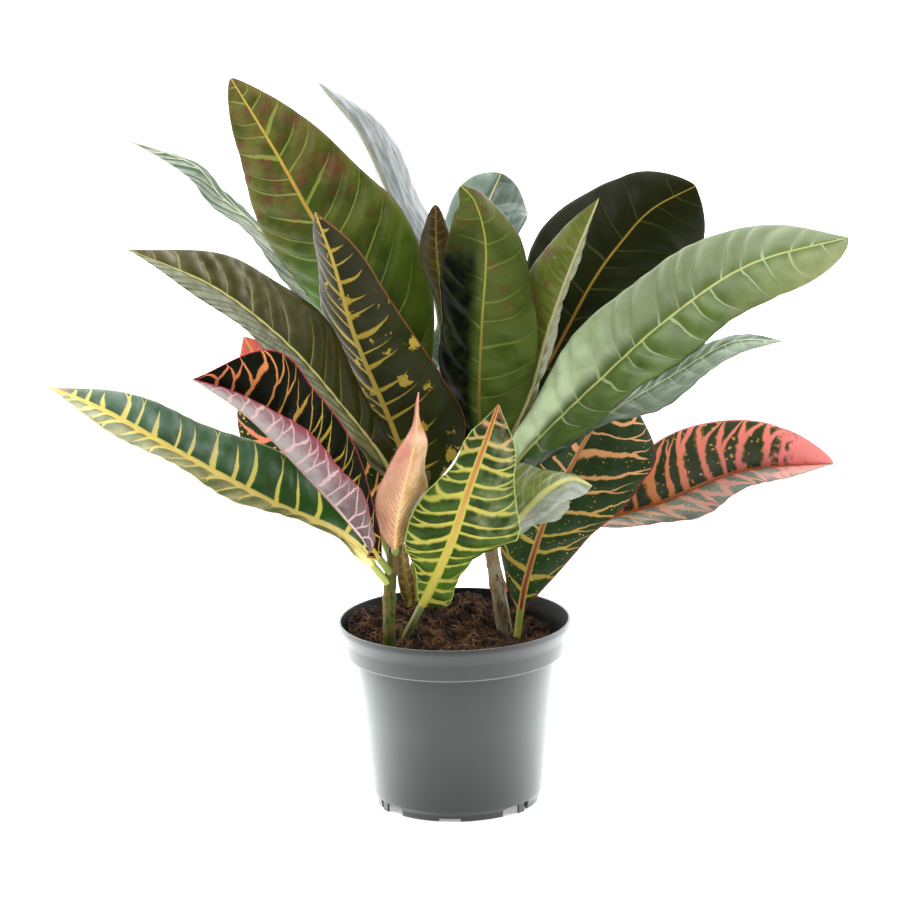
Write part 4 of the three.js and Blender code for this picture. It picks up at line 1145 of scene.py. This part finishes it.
golden = (1 + 5 ** 0.5) / 2
signs = [(a, b) for a in (-1, 1) for b in (-1, 1)]
crumbShape = unit(np.array([(0, a, b * golden) for a, b in signs] + [(a, b * golden, 0) for a, b in signs]
                           + [(b * golden, 0, a) for a, b in signs]))
crumbFaces = crumbFacesOf(crumbShape)


def peatBody(edge):
    # a disc of rings that follows soilTop, closed by a wall that keeps clear of the pot's inside
    plan, pot = soilPlan, potPlan
    rings, sides, clear, wall = plan["rings"], plan["sides"], plan["clear"], pot["wall"]
    radius = np.linspace(0.05, edge, rings)[:, None]
    angle = np.linspace(0, 2 * np.pi, sides, endpoint=False)
    x, y = radius * np.cos(angle), radius * np.sin(angle)
    top = np.stack([x, y, soilTop(x, y)], -1)
    bodyTop = pot["height"] - pot["collar"]
    floor = pot["floor"] + wall + clear
    sideRun = [(edge, bodyTop + 2 * wall + 1), (pot["bodyTop"] - wall - clear, bodyTop + wall + 1),
               (pot["bodyFoot"] - wall - clear, pot["footHeight"] + 0.8), (pot["pad"], floor), (0.05, floor)]
    rest = [np.stack([r * np.cos(angle), r * np.sin(angle), z + 0 * angle], -1) for r, z in sideRun]
    rows = rings + len(sideRun)
    faces = gridFaces(rows, sides, closed=True)[:, ::-1].tolist()
    faces.append(list(range(sides)))
    faces.append([(rows - 1) * sides + k for k in range(sides)][::-1])
    return np.concatenate([top, np.array(rest)]).reshape(-1, 3), faces


def crumb(draws, edge):
    # a small lump, pushed out of round by a draw for each corner
    r = edge * np.sqrt(draws.random()) * 0.98
    turn = draws.random() * 2 * np.pi
    x, y = r * np.cos(turn), r * np.sin(turn)
    size = 0.35 + 1.2 * draws.random() ** 3
    lump = crumbShape * size * (0.7 + 0.6 * draws.random((len(crumbShape), 1)))
    lump = lump * (1 + 0.5 * draws.random(3))
    return lump + (x, y, soilTop(x, y) + 0.25 * size)


def fibreThread(draws, edge):
    # a thin three-sided thread that arches over the peat, or nothing where it would cross the pot's wall
    r = edge * np.sqrt(draws.random()) * 0.9
    turn, heading = draws.random(2) * 2 * np.pi
    long = 6 + 14 * draws.random()
    bend = (draws.random() - 0.5) * 2.4
    share = np.linspace(-0.5, 0.5, soilPlan["fibreRows"])
    x = r * np.cos(turn) + long * share * np.cos(heading + bend * share)
    y = r * np.sin(turn) + long * share * np.sin(heading + bend * share)
    if not (np.hypot(x, y) < edge - 1).all():
        return None
    z = soilTop(x, y) + 0.4 + 2.2 * draws.random() * (1 - (2 * share) ** 2)
    thick = 0.09 + 0.14 * draws.random() ** 2
    spin = np.linspace(0, 2 * np.pi, soilPlan["fibreSides"], endpoint=False)[:, None]
    sideways = np.array([-np.sin(heading), np.cos(heading), 0])
    ring = np.cos(spin) * sideways + np.sin(spin) * np.array([0, 0, 1.0])
    return (np.stack([x, y, z], -1)[:, None] + thick * ring[None]).reshape(-1, 3)


def peatPaint():
    plan = soilPlan
    material, tree, shader = startMaterial("peat")
    spot = objectPlace(tree)
    coarse = cloud(tree, spot, 260, 4)
    finer = cloud(tree, spot, 1500, 3)
    colour = blendColours(tree, rampBetween(tree, coarse, 0.4, 0.66), *map(paint, plan["peat"]))
    colour = blendColours(tree, rampBetween(tree, finer, 0.6, 0.75), colour, paint(plan["peatFleck"]))
    plug(tree, shader.inputs["Base Color"], colour)
    shader.inputs["Roughness"].default_value = plan["peatRoughness"]
    shader.inputs["Specular IOR Level"].default_value = plan["specular"]
    addBump(tree, shader, finer, plan["peatDepth"] * mm)
    return material


def fibrePaint():
    plan = soilPlan
    material, tree, shader = startMaterial("peat_fibre")
    tone = rampBetween(tree, cloud(tree, objectPlace(tree), 120, 3), 0.4, 0.62)
    plug(tree, shader.inputs["Base Color"], blendColours(tree, tone, *map(paint, plan["fibre"])))
    shader.inputs["Roughness"].default_value = plan["fibreRoughness"]
    shader.inputs["Specular IOR Level"].default_value = plan["specular"]
    return material


def soilPiece():
    plan = soilPlan
    edge = potPlan["collarFoot"] - potPlan["wall"] - plan["clear"]
    body, faces = peatBody(edge)
    points = [body]
    start = len(body)
    draws = np.random.default_rng(11)
    for _ in range(plan["crumbs"]):
        points.append(crumb(draws, edge))
        faces.extend((crumbFaces + start).tolist())
        start += len(crumbShape)
    firstFibre = len(faces)
    rows, sides = plan["fibreRows"], plan["fibreSides"]
    threadFaces = gridFaces(rows, sides, closed=True)[:, ::-1]
    for _ in range(plan["fibres"]):
        thread = fibreThread(draws, edge)
        if thread is None:
            continue
        points.append(thread)
        faces.extend((threadFaces + start).tolist())
        faces.append([start, start + 1, start + 2])
        start += rows * sides
        faces.append([start - 1, start - 2, start - 3])
    piece = makeMesh("peat_surface", np.concatenate(points) * mm, faces, peatPaint(), smooth=False)
    piece.data.materials.append(fibrePaint())
    isFibre = np.arange(len(faces)) >= firstFibre
    piece.data.polygons.foreach_set("material_index", isFibre.astype(np.int32))
    standFor(piece, "soil")


soilPiece()
print("soil")


# Floor, light and camera

studio = {
    # the surround's brightness: behind the camera, behind the plant and overhead
    "front": 0.05, "back": 3.2, "above": 0.8,
    "floorGlow": 0.35, "floorSize": 6.0, "floorRoughness": 0.9, "floorPaint": ("f2f2f2", "f8f8f8"),
    # each lamp: place, size and power
    "lamps": {"key": ((-0.9, -1.3, 1.9), (0.7, 0.7), 17), "top": ((0.3, 0.5, 2.0), (1.2, 1.2), 10)},
    "lampAim": (0, 0, 0.2),
    "aim": (-0.00064, 0, 0.2008), "distance": 2.5, "elevation": 13.88, "lens": 180.9, "sensor": 36,
    "roll": -1.136,
}


def areaLamp(name, place, size, power):
    light = bpy.data.lights.new(name, "AREA")
    light.shape = "RECTANGLE"
    light.size, light.size_y = size
    light.energy = power
    lamp = bpy.data.objects.new(name, light)
    lamp.location = place
    lamp.rotation_euler = (Vector(studio["lampAim"]) - Vector(place)).to_track_quat("-Z", "Y").to_euler()
    scene.collection.objects.link(lamp)


def studioPieces():
    material, tree, shader = startMaterial("floor_card")
    colour = blendColours(tree, cloud(tree, objectPlace(tree), 3, 2), *map(paint, studio["floorPaint"]))
    plug(tree, shader.inputs["Base Color"], colour)
    shader.inputs["Roughness"].default_value = studio["floorRoughness"]
    shader.inputs["Emission Color"].default_value = (1, 1, 1, 1)
    shader.inputs["Emission Strength"].default_value = studio["floorGlow"]
    size, low = studio["floorSize"], -0.0002
    corners = [(-size, -size, low), (size, -size, low), (size, size, low), (-size, size, low)]
    floor = makeMesh("floor", corners, [(0, 1, 2, 3)], material)
    # a plain white surround, brighter behind the plant and overhead
    world = bpy.data.worlds.new("surround")
    world.use_nodes = True
    tree = world.node_tree
    aimed = parted(tree, tree.nodes.new("ShaderNodeTexCoord").outputs["Generated"])
    backing = calc(tree, "MULTIPLY_ADD", rampBetween(tree, aimed[1], -0.75, 0.1),
                   studio["back"] - studio["front"], studio["front"])
    overhead = calc(tree, "MULTIPLY", rampBetween(tree, aimed[2], 0.65, 0.95), studio["above"])
    plug(tree, tree.nodes["Background"].inputs["Strength"], calc(tree, "MAXIMUM", backing, overhead))
    tree.nodes["Background"].inputs["Color"].default_value = (1, 1, 1, 1)
    scene.world = world
    for name, lamp in studio["lamps"].items():
        areaLamp(name, *lamp)
    scene.view_settings.view_transform = "Standard"


def placeCamera():
    # at the photograph's viewing angle
    tilt = np.radians(studio["elevation"])
    back = Vector((0, -np.cos(tilt), np.sin(tilt)))
    camera = bpy.data.objects.new("camera", bpy.data.cameras.new("camera"))
    camera.data.lens = studio["lens"]
    camera.data.sensor_width = studio["sensor"]
    turn = Matrix.Rotation(np.radians(90 - studio["elevation"]), 4, "X")
    roll = Matrix.Rotation(np.radians(studio["roll"]), 4, "Z")
    camera.matrix_world = Matrix.Translation(Vector(studio["aim"]) + back * studio["distance"]) @ turn @ roll
    scene.collection.objects.link(camera)
    scene.camera = camera


studioPieces()
placeCamera()
print("studio")
